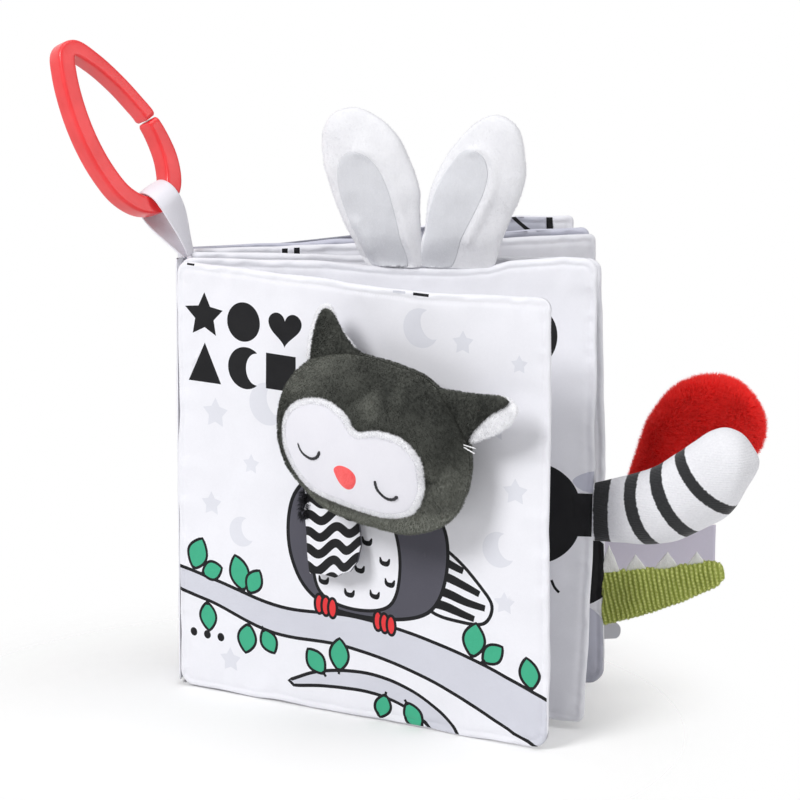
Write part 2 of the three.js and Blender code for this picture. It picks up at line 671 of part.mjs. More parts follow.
function placed(object, along, depth, up) {
  object.position.set(along, depth, up);
  return object;
}

// The distance from a leaf's middle to the turning line between it and its neighbour.
function foldPlace(turn, side) {
  const half_turn = (Math.abs(turn) * DEGREE) / 2;
  const half_pitch = SPINE_PITCH / 2;
  return new THREE.Vector3(-half_pitch * Math.sin(half_turn), side * half_pitch * Math.cos(half_turn), 0);
}

// Hangs a leaf on its neighbour by the fold between them. Side is -1 for the leaves in front of the third.
function hangLeaf(parent, child, parentPlan, childPlan, side) {
  const turn = childPlan.lean - parentPlan.lean;
  const fold = new THREE.Group();
  fold.position.copy(foldPlace(turn, side));
  fold.name = childPlan.name;
  parent.add(placed(spineFold("spine_fold_" + childPlan.name), fold.position.x, fold.position.y, 0));
  fold.rotation.z = turn * DEGREE;
  child.position.copy(foldPlace(turn, -side)).negate();
  fold.add(child);
  parent.add(fold);
}

const white = 0xf7f7f9;
const grey = 0xdadbe0;
const LEAF_COLOURS = [
  [white, white], [white, white], [white, white], [white, white], [grey, grey], [grey, white],
];
const leaves = LEAF_PLAN.map((plan, k) => leaf(plan, ...LEAF_COLOURS[k]));
for (let k = root_leaf; k > 0; k--) {
  hangLeaf(leaves[k], leaves[k - 1], LEAF_PLAN[k], LEAF_PLAN[k - 1], -1);
}
for (let k = root_leaf; k + 1 < leaves.length; k++) {
  hangLeaf(leaves[k], leaves[k + 1], LEAF_PLAN[k], LEAF_PLAN[k + 1], 1);
}
const [front_cover, , leaf_3, leaf_4, leaf_5] = leaves;

// A place on a leaf with its twist, as a group that is turned as the leaf is there.
function onLeaf(index, object, along, depth, up) {
  const { twist } = LEAF_PLAN[index];
  const place = twistedPoint(along, depth, up, twist);
  object.position.copy(place);
  object.rotation.z += twist * DEGREE * (up / PAGE_HEIGHT - 1 / 2);
  leaves[index].add(object);
}

const head_seat = PAGE_CROWN_HALF + GAP / 3;
front_cover.add(placed(owlHead(), HEAD_ALONG, -head_seat - HEAD_BACK, HEAD_UP));
const flap = placed(wingFlap(), WING_ALONG, -PAGE_CROWN_HALF - GAP, WING_TOP);
flap.rotation.x = -WING_LIFT * DEGREE;
front_cover.add(flap);

const sewn_top = PAGE_HEIGHT + SEW_GAP;
const sewn_side = PAGE_WIDTH + SEW_GAP;
const left_ear = rabbitEar("rabbit_ear_left", RABBIT_LEFT_BASE, RABBIT_LEFT_TILT);
const right_ear = rabbitEar("rabbit_ear_right", RABBIT_RIGHT_BASE, RABBIT_RIGHT_TILT);
onLeaf(1, left_ear, RABBIT_LEFT_ALONG, 0, sewn_top);
onLeaf(1, right_ear, RABBIT_RIGHT_ALONG, 0, sewn_top);
onLeaf(1, piece("striped_tail", tailForm(striped), 0xe9e9ee, 0.95), sewn_side, 0, STRIPED_UP);
leaf_3.add(placed(greenTail(), sewn_side, 0, GREEN_UP));
const label = strip(LABEL_LENGTH, LABEL_HEIGHT, LABEL_THICK, LABEL_THICK);
leaf_4.add(placed(piece("blank_label", label, 0xc8c3d2, 0.6), sewn_side, 0, LABEL_UP));
const tab = strip(TAB_LENGTH, TAB_HEIGHT, TAB_THICK, TAB_HEIGHT / 3);
leaf_4.add(placed(piece("grey_tab", tab, 0xc9cad0, 0.9), sewn_side, 0, TAB_UP));
leaf_5.add(placed(piece("red_tail", tailForm(red), 0xd0202c, 1), sewn_side, 0, RED_UP));

// The ribbon's foot is sewn in on the leaf's rounded corner.
const corner_drop = PAGE_CORNER - Math.sqrt(PAGE_CORNER ** 2 - (PAGE_CORNER - RIBBON_ALONG) ** 2);
const ribbon = placed(new THREE.Group(), RIBBON_ALONG, 0, sewn_top - corner_drop + GAP / 2);
ribbon.add(ribbonLoop());
const ring_group = new THREE.Group();
ring_group.rotation.copy(ring_turn);
ring_group.position.copy(hang_offset).sub(hang_point.clone().applyEuler(ring_turn));
ring_group.add(ring());
ribbon.add(ring_group);
leaf_3.add(ribbon);

// The origin is on the rim of the third leaf's front cloth, half way along its foot.
const group = new THREE.Group();
const rim_middle = (PAGE_EDGE_HALF + GAP / 2) / 2;
group.add(placed(leaf_3, -half_width, rim_middle, 0));

export default group;
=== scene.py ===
"""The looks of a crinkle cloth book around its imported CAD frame.

Lengths are in millimetres until a mesh is made."""

import math
from itertools import product

import bmesh
import bpy
import numpy as np
from mathutils import Matrix, Vector
from mathutils.bvhtree import BVHTree
from mathutils.geometry import delaunay_2d_cdt


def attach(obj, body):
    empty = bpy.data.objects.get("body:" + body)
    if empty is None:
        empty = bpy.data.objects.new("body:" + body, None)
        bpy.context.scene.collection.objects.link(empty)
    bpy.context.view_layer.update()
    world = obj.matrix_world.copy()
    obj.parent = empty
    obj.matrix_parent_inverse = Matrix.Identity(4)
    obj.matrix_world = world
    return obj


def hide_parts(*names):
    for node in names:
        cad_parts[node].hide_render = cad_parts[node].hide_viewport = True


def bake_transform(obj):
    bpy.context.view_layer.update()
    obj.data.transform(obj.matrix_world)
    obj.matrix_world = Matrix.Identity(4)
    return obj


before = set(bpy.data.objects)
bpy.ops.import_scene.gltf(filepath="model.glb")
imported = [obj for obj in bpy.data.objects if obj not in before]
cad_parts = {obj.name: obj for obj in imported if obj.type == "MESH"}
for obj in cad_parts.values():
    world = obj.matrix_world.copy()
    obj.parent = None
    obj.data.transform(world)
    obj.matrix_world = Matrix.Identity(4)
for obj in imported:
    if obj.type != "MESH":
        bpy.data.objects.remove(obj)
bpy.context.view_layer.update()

MM = 0.001

# Camera

scene = bpy.context.scene
camera_data = bpy.data.cameras.new("camera")
camera = bpy.data.objects.new("camera", camera_data)
scene.collection.objects.link(camera)
scene.camera = camera
CAMERA_PLACE = Vector((68.3, -1266.5, 400.4))
CAMERA_TARGET = Vector((2.1, -3.3, 100.5))
CAMERA_ROLL = 0.28
SENSOR_WIDTH, LENS = 36, 172.3
camera_data.sensor_width = SENSOR_WIDTH
camera_data.lens = LENS
camera_data.clip_start, camera_data.clip_end = 0.05, 10
look = (CAMERA_TARGET - CAMERA_PLACE).to_track_quat("-Z", "Y").to_matrix().to_4x4()
roll = Matrix.Rotation(math.radians(CAMERA_ROLL), 4, "Z")
camera.matrix_world = Matrix.Translation(CAMERA_PLACE * MM) @ look @ roll
scene.view_settings.view_transform = "Standard"


# Curves, noise and meshes


def noise3(points, seed):
    """Smooth noise from -1 to 1 with a cell of one unit."""
    table = np.random.default_rng(seed).uniform(-1, 1, (32, 32, 32))
    base = np.floor(points).astype(int)
    part = points - base
    part = part * part * (3 - 2 * part)
    total = np.zeros(len(points))
    for corner in product((0, 1), repeat=3):
        weight = np.prod(np.where(corner, part, 1 - part), axis=1)
        x, y, z = ((base + corner) % 32).T
        total += weight * table[x, y, z]
    return total


def fractal(points, size, seed):
    """Noise in two layers, whose larger lumps are about size across."""
    points = np.asarray(points, float)
    if points.shape[1] == 2:
        points = np.column_stack([points, np.zeros(len(points))])
    return noise3(points / size, seed) + 0.5 * noise3(points / size * 2 + 7.3, seed + 1)


def reached(line):
    """How far along a line each of its points is."""
    return np.concatenate([[0], np.cumsum(np.linalg.norm(np.diff(line, axis=0), axis=1))])


def evenly(line, count, closed):
    """count points evenly spaced along a fine line."""
    reach = reached(line)
    at = np.linspace(0, reach[-1], count, endpoint=not closed)
    return np.column_stack([np.interp(at, reach, column) for column in line.T])


def around(corners, count):
    """count points evenly spaced round straight sides from corner to corner."""
    return evenly(np.array([*corners, corners[0]], float), count, True)


def through(points, count, closed=True):
    """count points evenly along a smooth curve through the given ones."""
    p = np.array(points, float)
    if closed:
        padded = np.vstack([p[-1:], p, p[:2]])
    else:
        padded = np.vstack([2 * p[:1] - p[1:2], p, 2 * p[-1:] - p[-2:-1]])
    t = np.linspace(0, 1, 24, endpoint=False)[:, None]
    parts = []
    for k in range(len(p) if closed else len(p) - 1):
        a, b, c, d = padded[k : k + 4]
        ab, bc, cd = (max(np.linalg.norm(v) ** 0.5, 1e-6) for v in (b - a, c - b, d - c))
        leave = ((b - a) / ab - (c - a) / (ab + bc) + (c - b) / bc) * bc
        arrive = ((c - b) / bc - (d - b) / (bc + cd) + (d - c) / cd) * bc
        parts.append(
            b * (2 * t**3 - 3 * t**2 + 1)
            + leave * (t**3 - 2 * t**2 + t)
            + c * (3 * t**2 - 2 * t**3)
            + arrive * (t**3 - t**2)
        )
    end = parts[0][:1] if closed else p[-1:]
    return evenly(np.vstack([*parts, end]), count, closed)


def smooth(low, high, value):
    """0 on low's side of both values, 1 on high's side, and smooth in between."""
    share = np.clip((np.asarray(value, float) - low) / (high - low), 0, 1)
    return share * share * (3 - 2 * share)


def unit(vectors):
    """Vectors made one long."""
    return vectors / np.maximum(np.linalg.norm(vectors, axis=-1), 1e-9)[..., None]


def left_of(ways):
    """Flat vectors turned a quarter to the left."""
    return np.column_stack([-ways[:, 1], ways[:, 0]])


def round_angles(count):
    """Angles evenly round a circle."""
    return np.linspace(0, 2 * math.pi, count, endpoint=False)


def graded(values, share):
    """Values along a line at shares of its length. They are one number or some at even steps."""
    values = np.atleast_1d(values)
    return np.interp(share, np.linspace(0, 1, len(values)), values)


def upright(flat, depth):
    """Flat points stood up in the plane of x and z, at a depth."""
    return np.column_stack([flat[:, 0], np.broadcast_to(depth, len(flat)), flat[:, 1]])


def both_sides(front, thick):
    """The points of a sheet's front and then those of its back."""
    return np.vstack([front, front + (0, thick, 0)])


def turned(points, degrees):
    """Flat points turned about the origin."""
    c, s = math.cos(math.radians(degrees)), math.sin(math.radians(degrees))
    return np.asarray(points, float) @ np.array([[c, s], [-s, c]])


def apply(matrix, points):
    """Points moved by a 4x4 matrix."""
    m = np.array(matrix)
    return np.asarray(points, float) @ m[:3, :3].T + m[:3, 3]


def make(name, points, faces, materials, which=None, place=None, **values):
    """A smooth mesh from points in millimetres. place and values become attributes for the materials."""
    mesh = bpy.data.meshes.new(name)
    mesh.from_pydata((np.asarray(points, float) * MM).tolist(), [], [list(map(int, f)) for f in faces])
    for material in materials:
        mesh.materials.append(material)
    if which is not None:
        mesh.polygons.foreach_set("material_index", np.asarray(which, np.int32))
    mesh.polygons.foreach_set("use_smooth", np.ones(len(mesh.polygons), bool))
    place = points if place is None else place
    attribute = mesh.attributes.new("place", "FLOAT_VECTOR", "POINT")
    attribute.data.foreach_set("vector", np.asarray(place, np.float32).ravel())
    for key, value in values.items():
        attribute = mesh.attributes.new(key, "FLOAT", "POINT")
        attribute.data.foreach_set("value", np.asarray(value, np.float32))
    mesh.update()
    made = bpy.data.objects.new(name, mesh)
    scene.collection.objects.link(made)
    return made


def dress(piece, body, slot, *nodes, fill=None):
    """piece moves with a body, or stays in place where body names two, and stands for the nodes, which it
    hides; slot is not used.
    """
    if isinstance(body, tuple):
        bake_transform(piece)
    else:
        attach(piece, body)
    if nodes:
        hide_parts(*nodes)
    return piece


def add(name, matrix, points, faces, material, body, slot, *nodes, fill=None, place=None, **values):
    """A dressed piece of one material, with its points in a frame of its own."""
    place = points if place is None else place
    made = make(name, apply(matrix, points), faces, [material], place=place, **values)
    return dress(made, body, slot, *nodes, fill=fill)


def tube_faces(rows, count, capped=True):
    """Faces of loops of points one after another, with a point at both ends where they are capped."""
    start = 1 if capped else 0
    k = np.arange(count)
    after = (k + 1) % count
    faces = []
    for row in range(rows - 1):
        low, high = start + row * count, start + (row + 1) * count
        faces += np.column_stack([low + k, low + after, high + after, high + k]).tolist()
    if capped:
        top = start + (rows - 1) * count
        faces += np.column_stack([np.zeros(count, int), start + after, start + k]).tolist()
        faces += np.column_stack([np.full(count, top + count), top + k, top + after]).tolist()
    return faces


def band_faces(rows, columns):
    """Faces of a closed flat band: a grid of points, the same grid again for its other side, and the rim."""
    index = np.arange(rows * columns).reshape(rows, columns)
    corners = (index[:-1, :-1], index[:-1, 1:], index[1:, 1:], index[1:, :-1])
    front = np.column_stack([corner.ravel() for corner in corners])
    rim = np.concatenate([index[0], index[1:, -1], index[-1, -2::-1], index[-2:0:-1, 0]])
    after, other = np.roll(rim, -1), index.size
    sides = np.column_stack([after, rim, rim + other, after + other])
    return [*front.tolist(), *(front[:, ::-1] + other).tolist(), *sides.tolist()]


def swept(spots, depth, count=130, columns=90):
    """A round stuffed form between the two sides of an outline that starts and ends at its root."""
    line = evenly(through(spots, 900, closed=False), 2 * count, False)
    near, far = line[:count], line[: count - 1 : -1]
    centre, half = (near + far) / 2, (near - far) / 2
    wide = np.linalg.norm(half, axis=1)
    deep = ((depth / 2) ** -4.0 + (wide + 1e-6) ** -4.0) ** -0.25
    a = round_angles(columns)
    rows = [upright(c + h * np.cos(a)[:, None], -d * np.sin(a)) for c, h, d in zip(centre, half, deep)]
    tips = [[[c[0], 0, c[1]]] for c in (centre[0], centre[-1])]
    return np.vstack([tips[0], *rows, tips[1]]), tube_faces(count, columns)


def pillow(outline, centre, front, back, rings, edge=0.3, power=1.0):
    """A form that swells to front (-y) and back of the seam in its outline: points and faces."""
    turns = np.linspace(0, math.pi / 2, rings)[1:]
    spread = outline - centre
    rows = []
    for depth, sign, order in ((front, -1, turns), (back, 1, turns[::-1])):
        for t in order:
            flat = centre + spread * math.sin(t)
            y = sign * (edge + (depth - edge) * max(math.cos(t), 0) ** power)
            rows.append(upright(flat, y))
    tips = [[[centre[0], depth, centre[1]]] for depth in (-front, back)]
    return np.vstack([tips[0], *rows, tips[1]]), tube_faces(len(rows), len(outline))


def outward(points, faces):
    """A unit normal at each point, away from the middle of the form."""
    result = np.zeros_like(points)
    for size in (3, 4):
        some = np.array([f for f in faces if len(f) == size])
        if len(some):
            a, b, c, d = (points[some[:, k]] for k in (0, 1, 2, -1))
            normal = np.cross(c - a, d - b) if size == 4 else np.cross(b - a, c - a)
            for column in some.T:
                np.add.at(result, column, normal)
    result = unit(result)
    return result if np.sum(result * (points - points.mean(0))) > 0 else -result


def lumpy(points, faces, *layers):
    """A form with soft lumps, each layer of them a size, a height and a seed."""
    push = sum(height * fractal(points, size, seed) for size, height, seed in layers)
    return points + outward(points, faces) * push[:, None]


def fibres(points, faces, count, length, thick, seed, comb=(0, 0, -0.4), only=None):
    """Short tapering strands that stand on a form: points, faces and how near its tip each point is."""
    rng = np.random.default_rng(seed)
    halves = (((f[0], f[1], f[2]), (f[0], f[2], f[-1]))[: len(f) - 2] for f in faces)
    triangles = np.array([triangle for pair in halves for triangle in pair])
    if only is not None:
        triangles = triangles[only(points[triangles].mean(axis=1))]
    a, b, c = (points[triangles[:, k]] for k in range(3))
    way = np.cross(b - a, c - a)
    area = np.linalg.norm(way, axis=1)
    if np.sum(way * (a - points.mean(0))) < 0:
        way = -way
    pick = rng.choice(len(triangles), count, p=area / area.sum())
    u, v = rng.random((2, count, 1))
    u, v = np.where(u + v > 1, 1 - u, u), np.where(u + v > 1, 1 - v, v)
    root = a[pick] + (b - a)[pick] * u + (c - a)[pick] * v
    lean = unit(way)[pick] + np.array(comb) + rng.normal(0, 0.28, (count, 3))
    lean = unit(lean + 0.5 * np.column_stack([fractal(root, 9, seed + k) for k in range(3)]))
    reach = length * rng.uniform(0.6, 1.1, (count, 1))
    side = unit(np.cross(lean, rng.normal(size=(count, 3)))) * thick
    middle = root + lean * reach * 0.55
    tip = root + lean * reach + np.array(comb) * reach * 0.35
    foot, waist = side / 2, side * 0.36
    rows = np.stack([root - foot, root + foot, middle + waist, middle - waist, tip], axis=1)
    first = np.arange(count)[:, None] * 5
    made = [*(first + [0, 1, 2, 3]).tolist(), *(first + [3, 2, 4]).tolist()]
    return rows.reshape(-1, 3), made, np.tile([0, 0, 0.5, 0.5, 1], count)


# Materials


class Shader:
    """A material's nodes, built with a call for each."""

    def __init__(self, name):
        self.material = bpy.data.materials.new(name)
        self.material.use_nodes = True
        self.tree = self.material.node_tree
        self.surface = self.tree.nodes["Principled BSDF"]

    def give(self, socket, value):
        if isinstance(value, bpy.types.NodeSocket):
            self.tree.links.new(value, socket)
        elif hasattr(value, "__len__") and len(value) == 3 and socket.type == "RGBA":
            socket.default_value = (*value, 1)
        else:
            socket.default_value = value

    def node(self, kind, inputs=(), **settings):
        made = self.tree.nodes.new(kind)
        for key, value in settings.items():
            setattr(made, key, value)
        for key, value in dict(inputs).items():
            self.give(made.inputs[key], value)
        return made

    def math(self, operation, a, b=0.0, c=0.0):
        return self.node("ShaderNodeMath", {0: a, 1: b, 2: c}, operation=operation).outputs[0]

    def attribute(self, name, output="Vector"):
        return self.node("ShaderNodeAttribute", attribute_name=name).outputs[output]

    def split(self, vector):
        return self.node("ShaderNodeSeparateXYZ", {0: vector}).outputs

    def noise(self, vector, size, detail=3.0, stretch=None):
        if stretch:
            inputs = {0: vector, 1: stretch}
            vector = self.node("ShaderNodeVectorMath", inputs, operation="MULTIPLY").outputs[0]
        inputs = {"Vector": vector, "Scale": 1 / size, "Detail": detail}
        return self.node("ShaderNodeTexNoise", inputs).outputs[0]

    def wave(self, value, period):
        return self.math("SINE", self.math("MULTIPLY", value, 2 * math.pi / period))

    def span(self, value, low, high, to_low, to_high):
        inputs = {0: value, 1: low, 2: high, 3: to_low, 4: to_high}
        return self.node("ShaderNodeMapRange", inputs).outputs[0]

    def mix(self, share, a, b):
        made = self.node("ShaderNodeMix", data_type="RGBA")
        for index, value in ((0, share), (6, a), (7, b)):
            self.give(made.inputs[index], value)
        return made.outputs[2]

    def bump(self, height, strength, distance):
        inputs = {"Height": height, "Strength": strength, "Distance": distance * MM}
        return self.node("ShaderNodeBump", inputs).outputs[0]

    def mix_surface(self, share, other):
        """The material shows other in place of its own surface, by a share."""
        mixed = self.node("ShaderNodeMixShader", {0: share, 1: self.surface.outputs[0], 2: other})
        self.give(self.tree.nodes["Material Output"].inputs["Surface"], mixed.outputs[0])

    def finish(self, **values):
        for key, value in values.items():
            self.give(self.surface.inputs[key.replace("_", " ")], value)
        return self.material


def linear(red, green, blue):
    """An sRGB colour of 0 to 255 as linear light."""

    def one(value):
        share = value / 255
        return share / 12.92 if share <= 0.04045 else ((share + 0.055) / 1.055) ** 2.4

    return one(red), one(green), one(blue)


def woven(name, colour, shade=0.93, thread=0.42, rough=0.78, sheen=0.15):
    """Printed twill: fine diagonal ribs, faint cloudy colour, a little sheen."""
    s = Shader(name)
    base = linear(*colour)
    place = s.attribute("place")
    x, _, z = s.split(place)
    across = s.wave(s.math("ADD", x, z), thread)
    along = s.wave(s.math("SUBTRACT", x, z), thread * 2.2)
    ribs = s.math("MULTIPLY_ADD", across, 0.6, s.math("MULTIPLY", along, 0.25))
    cloud = s.noise(place, 22, 4)
    threads = s.noise(place, 0.9, 2)
    tone = s.span(s.math("ADD", cloud, s.math("MULTIPLY", threads, 0.35)), 0.3, 1.0, 0, 1)
    tint = s.mix(tone, tuple(c * shade for c in base), base)
    creases = s.math("MULTIPLY_ADD", ribs, 0.25, s.noise(place, 5, 3, (1, 1, 1.6)))
    roughness = s.span(s.noise(place, 9, 2), 0.3, 0.7, rough - 0.06, rough + 0.06)
    return s.finish(
        Base_Color=tint,
        Roughness=roughness,
        Normal=s.bump(creases, 0.35, 0.12),
        Specular_IOR_Level=0.25,
        Sheen_Weight=sheen,
        Sheen_Roughness=0.5,
    )


STRANDS = {}


def napped(name, colour, tips, nap, sheen, contrast=1.0, glow=4):
    """Plush: short nap in soft clumps, lighter towards its strands' ends and where the attribute tip paints
    light on it: painted sheen on the owl's head, painted light on corduroy rib tops, whose grooves keep the
    darker colour as painted shade.

    Its strands get a material of their own, which lets light through."""
    made = []
    for part in ("", "_strands"):
        s = Shader(name + part)
        place = s.attribute("place")
        lie = s.noise(place, nap * 9, 3, (1, 1, 0.7))
        grain = s.noise(place, nap, 4, (1, 1, 0.55))
        clumps = s.math("MULTIPLY_ADD", lie, 0.7, s.math("MULTIPLY", grain, 0.5))
        clumps = s.span(clumps, 0.42, 0.78, 0, contrast)
        # The attribute tip lightens strand ends and also carries painted light: sheen on the owl's head,
        # light on corduroy rib tops.
        clumps_tips_and_painted_light = s.math("MAXIMUM", clumps, s.attribute("tip", "Fac"))
        shade = s.mix(clumps_tips_and_painted_light, linear(*colour), linear(*tips))
        s.finish(
            Base_Color=shade,
            Roughness=0.95,
            Normal=s.bump(s.math("MULTIPLY_ADD", grain, 0.6, lie), 0.6 * contrast, 0.5),
            Sheen_Weight=sheen,
            Sheen_Roughness=0.35,
            Sheen_Tint=(*[min(1, c * glow) for c in linear(*tips)[:3]], 1),
        )
        if part:
            s.mix_surface(0.5, s.node("ShaderNodeBsdfTranslucent", {"Color": shade}).outputs[0])
        made.append(s.material)
    STRANDS[made[0].name] = made[1]
    return made[0]


def knit(name):
    """Brushed white knit with soft black stripes, where the attribute stripe is above 0."""
    s = Shader(name)
    place = s.attribute("place")
    edge = s.math("MULTIPLY_ADD", s.noise(place, 0.9, 3), 0.9, s.attribute("stripe", "Fac"))
    grain = s.noise(place, 0.7, 4)
    white = s.mix(grain, linear(214, 214, 219), linear(236, 236, 240))
    black = s.mix(grain, linear(17, 18, 20), linear(40, 41, 44))
    ribs = s.wave(s.split(place)[2], 0.8)
    return s.finish(
        Base_Color=s.mix(s.span(edge, 0.3, 0.65, 0, 1), white, black),
        Roughness=0.95,
        Normal=s.bump(s.math("MULTIPLY_ADD", ribs, 0.2, grain), 0.5, 0.3),
        Sheen_Weight=0.2,
    )


def plastic(name, colour, deep):
    """Moulded plastic: satin, with faint flow marks, uneven gloss and a little depth."""
    s = Shader(name)
    place = s.attribute("place")
    flow = s.noise(place, 12, 3)
    wear = s.noise(place, 4, 3)
    return s.finish(
        Base_Color=s.mix(s.span(flow, 0.35, 0.65, 0, 1), linear(*deep), linear(*colour)),
        Roughness=s.span(wear, 0.2, 0.8, 0.3, 0.35),
        Normal=s.bump(flow, 0.25, 0.1),
        Coat_Weight=0.45,
        Coat_Roughness=0.22,
        Subsurface_Weight=0.25,
        Subsurface_Scale=0.002,
        Specular_IOR_Level=0.35,
    )


WHITE = woven("white_cloth", (236, 236, 242))
BLACK = woven("black_print", (20, 20, 23), shade=0.85, sheen=0.04)
CHARCOAL = woven("charcoal_print", (80, 79, 89), shade=0.9)
MID_GREY = woven("grey_print", (208, 209, 219))
PALE_GREY = woven("pale_grey_print", (222, 223, 231))
DARK_BAND = woven("lilac_grey_print", (194, 195, 207))
LIGHT_BAND = woven("blue_grey_print", (200, 201, 215))
GREEN = woven("green_print", (62, 172, 134))
RED_PRINT = woven("red_print", (224, 52, 56))
# The grey plush's lighter colour serves its strand tips and the painted sheen on the owl's head.
OWL_PLUSH = napped("grey_plush", (26, 28, 25), (126, 128, 120), nap=0.9, contrast=0.28, sheen=0.6, glow=3)
WHITE_PLUSH = napped("white_plush", (227, 227, 231), (241, 241, 244), nap=0.6, contrast=0.5, sheen=0.15)
FACE_PLUSH = napped("face_cloth", (222, 221, 228), (231, 230, 236), nap=0.5, contrast=0.3, sheen=0.1)
SILVER_PLUSH = napped("light_grey_plush", (208, 209, 214), (222, 223, 228), nap=0.6, contrast=0.5, sheen=0.15)
CORAL_FELT = napped("coral_felt", (234, 82, 84), (248, 112, 110), nap=0.4, sheen=0.2)
THREAD = napped("black_thread", (26, 26, 29), (56, 56, 60), nap=0.3, sheen=0.1)
WHITE_THREAD = napped("white_thread", (232, 232, 235), (247, 247, 249), nap=0.3, sheen=0.1)
RED_FUR = napped("red_fur", (246, 18, 24), (255, 90, 84), nap=1.0, sheen=0.5)
# The corduroy's lighter colour is painted on its rib tops as light, so its grooves look shaded: painted light
# and shade.
GREEN_CORD = napped("green_corduroy", (148, 161, 62), (228, 235, 146), nap=0.5, contrast=0.25, sheen=0.1)
FELT = napped("white_felt", (228, 228, 226), (244, 244, 242), nap=0.4, sheen=0.1)
KNIT = knit("striped_knit")
LABEL = woven("lilac_tape", (220, 215, 232), thread=0.5, rough=0.6)
TAB = woven("grey_tape", (200, 201, 208), thread=0.7)
SATIN = woven("white_satin", (232, 230, 238), thread=0.6, rough=0.38, sheen=0.3)
CORAL = plastic("coral_plastic", (234, 52, 56), (222, 36, 40))


# Places of the leaves: name, lean, twist, and the radii of the corners from the lower outer one round

PAGE_WIDTH, PAGE_HEIGHT = 145.0, 150.0
LEAVES = [
    ("front_cover", -27, 0, (6.5, 3.5, 4.5, 5.5)),
    ("leaf_2", -12, 13, (2.5, 5, 5, 5)),
    ("leaf_3", 0, 0, (5.5, 4, 5, 5)),
    ("leaf_4", 13, 0, (5, 2.2, 5, 5)),
    ("leaf_5", 17, 0, (5, 3, 5, 5)),
    ("back_cover", 23, 0, (5, 2.2, 5, 5)),
]
HALF_PITCH = 2.0


def hang(parent, turn, side):
    """The place of a leaf that hangs on its neighbour by a fold between them."""
    half = math.radians(abs(turn)) / 2
    out, deep = HALF_PITCH * math.sin(half), side * HALF_PITCH * math.cos(half)
    fold = parent @ Matrix.Translation((-out, deep, 0)) @ Matrix.Rotation(math.radians(turn), 4, "Z")
    return fold @ Matrix.Translation((out, deep, 0))


places = {2: Matrix.Translation((-PAGE_WIDTH / 2, 0.475, 0))}
for k in (1, 0):
    places[k] = hang(places[k + 1], LEAVES[k][1] - LEAVES[k + 1][1], -1)
for k in (3, 4, 5):
    places[k] = hang(places[k - 1], LEAVES[k][1] - LEAVES[k - 1][1], 1)


def on_leaf(k, points):
    """Points of leaf k (along, through, up) in the book's frame, with the leaf's twist."""
    points = np.asarray(points, float)
    turn = math.radians(LEAVES[k][2]) * (points[:, 2] / PAGE_HEIGHT - 0.5)
    x = points[:, 0] * np.cos(turn) - points[:, 1] * np.sin(turn)
    y = points[:, 0] * np.sin(turn) + points[:, 1] * np.cos(turn)
    return apply(places[k], np.column_stack([x, y, points[:, 2]]))


def leaf_matrix(k, along, up):
    """A frame in the middle plane of leaf k, turned as the leaf is there."""
    turn = Matrix.Rotation(math.radians(LEAVES[k][2]) * (up / PAGE_HEIGHT - 0.5), 4, "Z")
    return places[k] @ Matrix.Translation(turn @ Vector((along, 0, up))) @ turn


# Shapes of prints, in a leaf's plane


def ellipse(x, z, wide, high=None, count=48):
    a = round_angles(count)
    return np.column_stack([x + wide * np.cos(a), z + (high or wide) * np.sin(a)])


def box(x, z, wide, high):
    """An upright rectangle from its lower left corner."""
    return np.array([(x, z), (x + wide, z), (x + wide, z + high), (x, z + high)], float)


def blob(*points):
    return through(points, 90)


def stroke(points, width, count=60, smoothed=True):
    """A line of some width, as a closed outline. width is one number or one for each point."""
    line = through(points, count, closed=False) if smoothed else np.array(points, float)
    widths = graded(width, np.linspace(0, 1, len(line)))
    side = left_of(unit(np.gradient(line, axis=0))) * widths[:, None] / 2
    return np.vstack([line + side, (line - side)[::-1]])


def grown(shape, by):
    """A smooth shape made larger all round."""
    ahead = np.roll(shape, -1, axis=0)
    way = unit(ahead - np.roll(shape, 1, axis=0))
    area = np.sum(shape[:, 0] * ahead[:, 1] - ahead[:, 0] * shape[:, 1])
    return shape - left_of(way) * math.copysign(by, area * by)


def outlined(shape, material, line=1.2):
    """A filled shape with a black line round it."""
    return [(grown(shape, line / 2), BLACK), (grown(shape, -line / 2), material)]


def star(x, z, radius, inner=0.5):
    a = np.radians(90) + np.arange(10) * math.pi / 5
    r = np.where(np.arange(10) % 2, radius * inner, radius)
    return np.column_stack([x + r * np.cos(a), z + r * np.sin(a)])


def moon(x, z, radius, turn=0):
    a = np.radians(np.linspace(50, 310, 40))
    outer = np.column_stack([np.cos(a), np.sin(a)]) * radius
    b = np.linspace(outer[-1, 1], outer[0, 1], 30)
    bite = 0.62 * radius * np.sqrt(np.clip(1 - (b / outer[0, 1]) ** 2, 0, 1))
    inner = np.column_stack([outer[0, 0] - bite, b])
    return turned(np.vstack([outer, inner[1:-1]]), turn) + (x, z)


def heart(x, z, size):
    a = round_angles(60)
    u = 16 * np.sin(a) ** 3
    v = 13 * np.cos(a) - 5 * np.cos(2 * a) - 2 * np.cos(3 * a) - np.cos(4 * a)
    return np.column_stack([x + u * size / 16, z + v * size / 16])


def leaflet(x, z, length, width, turn):
    """A pointed oval that starts at a point."""
    t = np.linspace(0, 1, 16)
    bulge = width / 2 * np.sin(math.pi * t) ** 0.8
    upper, lower = np.column_stack([t * length, bulge]), np.column_stack([t * length, -bulge])
    return turned(np.vstack([upper, lower[-2:0:-1]]), turn) + (x, z)


PRINT_MARGIN = 0.4


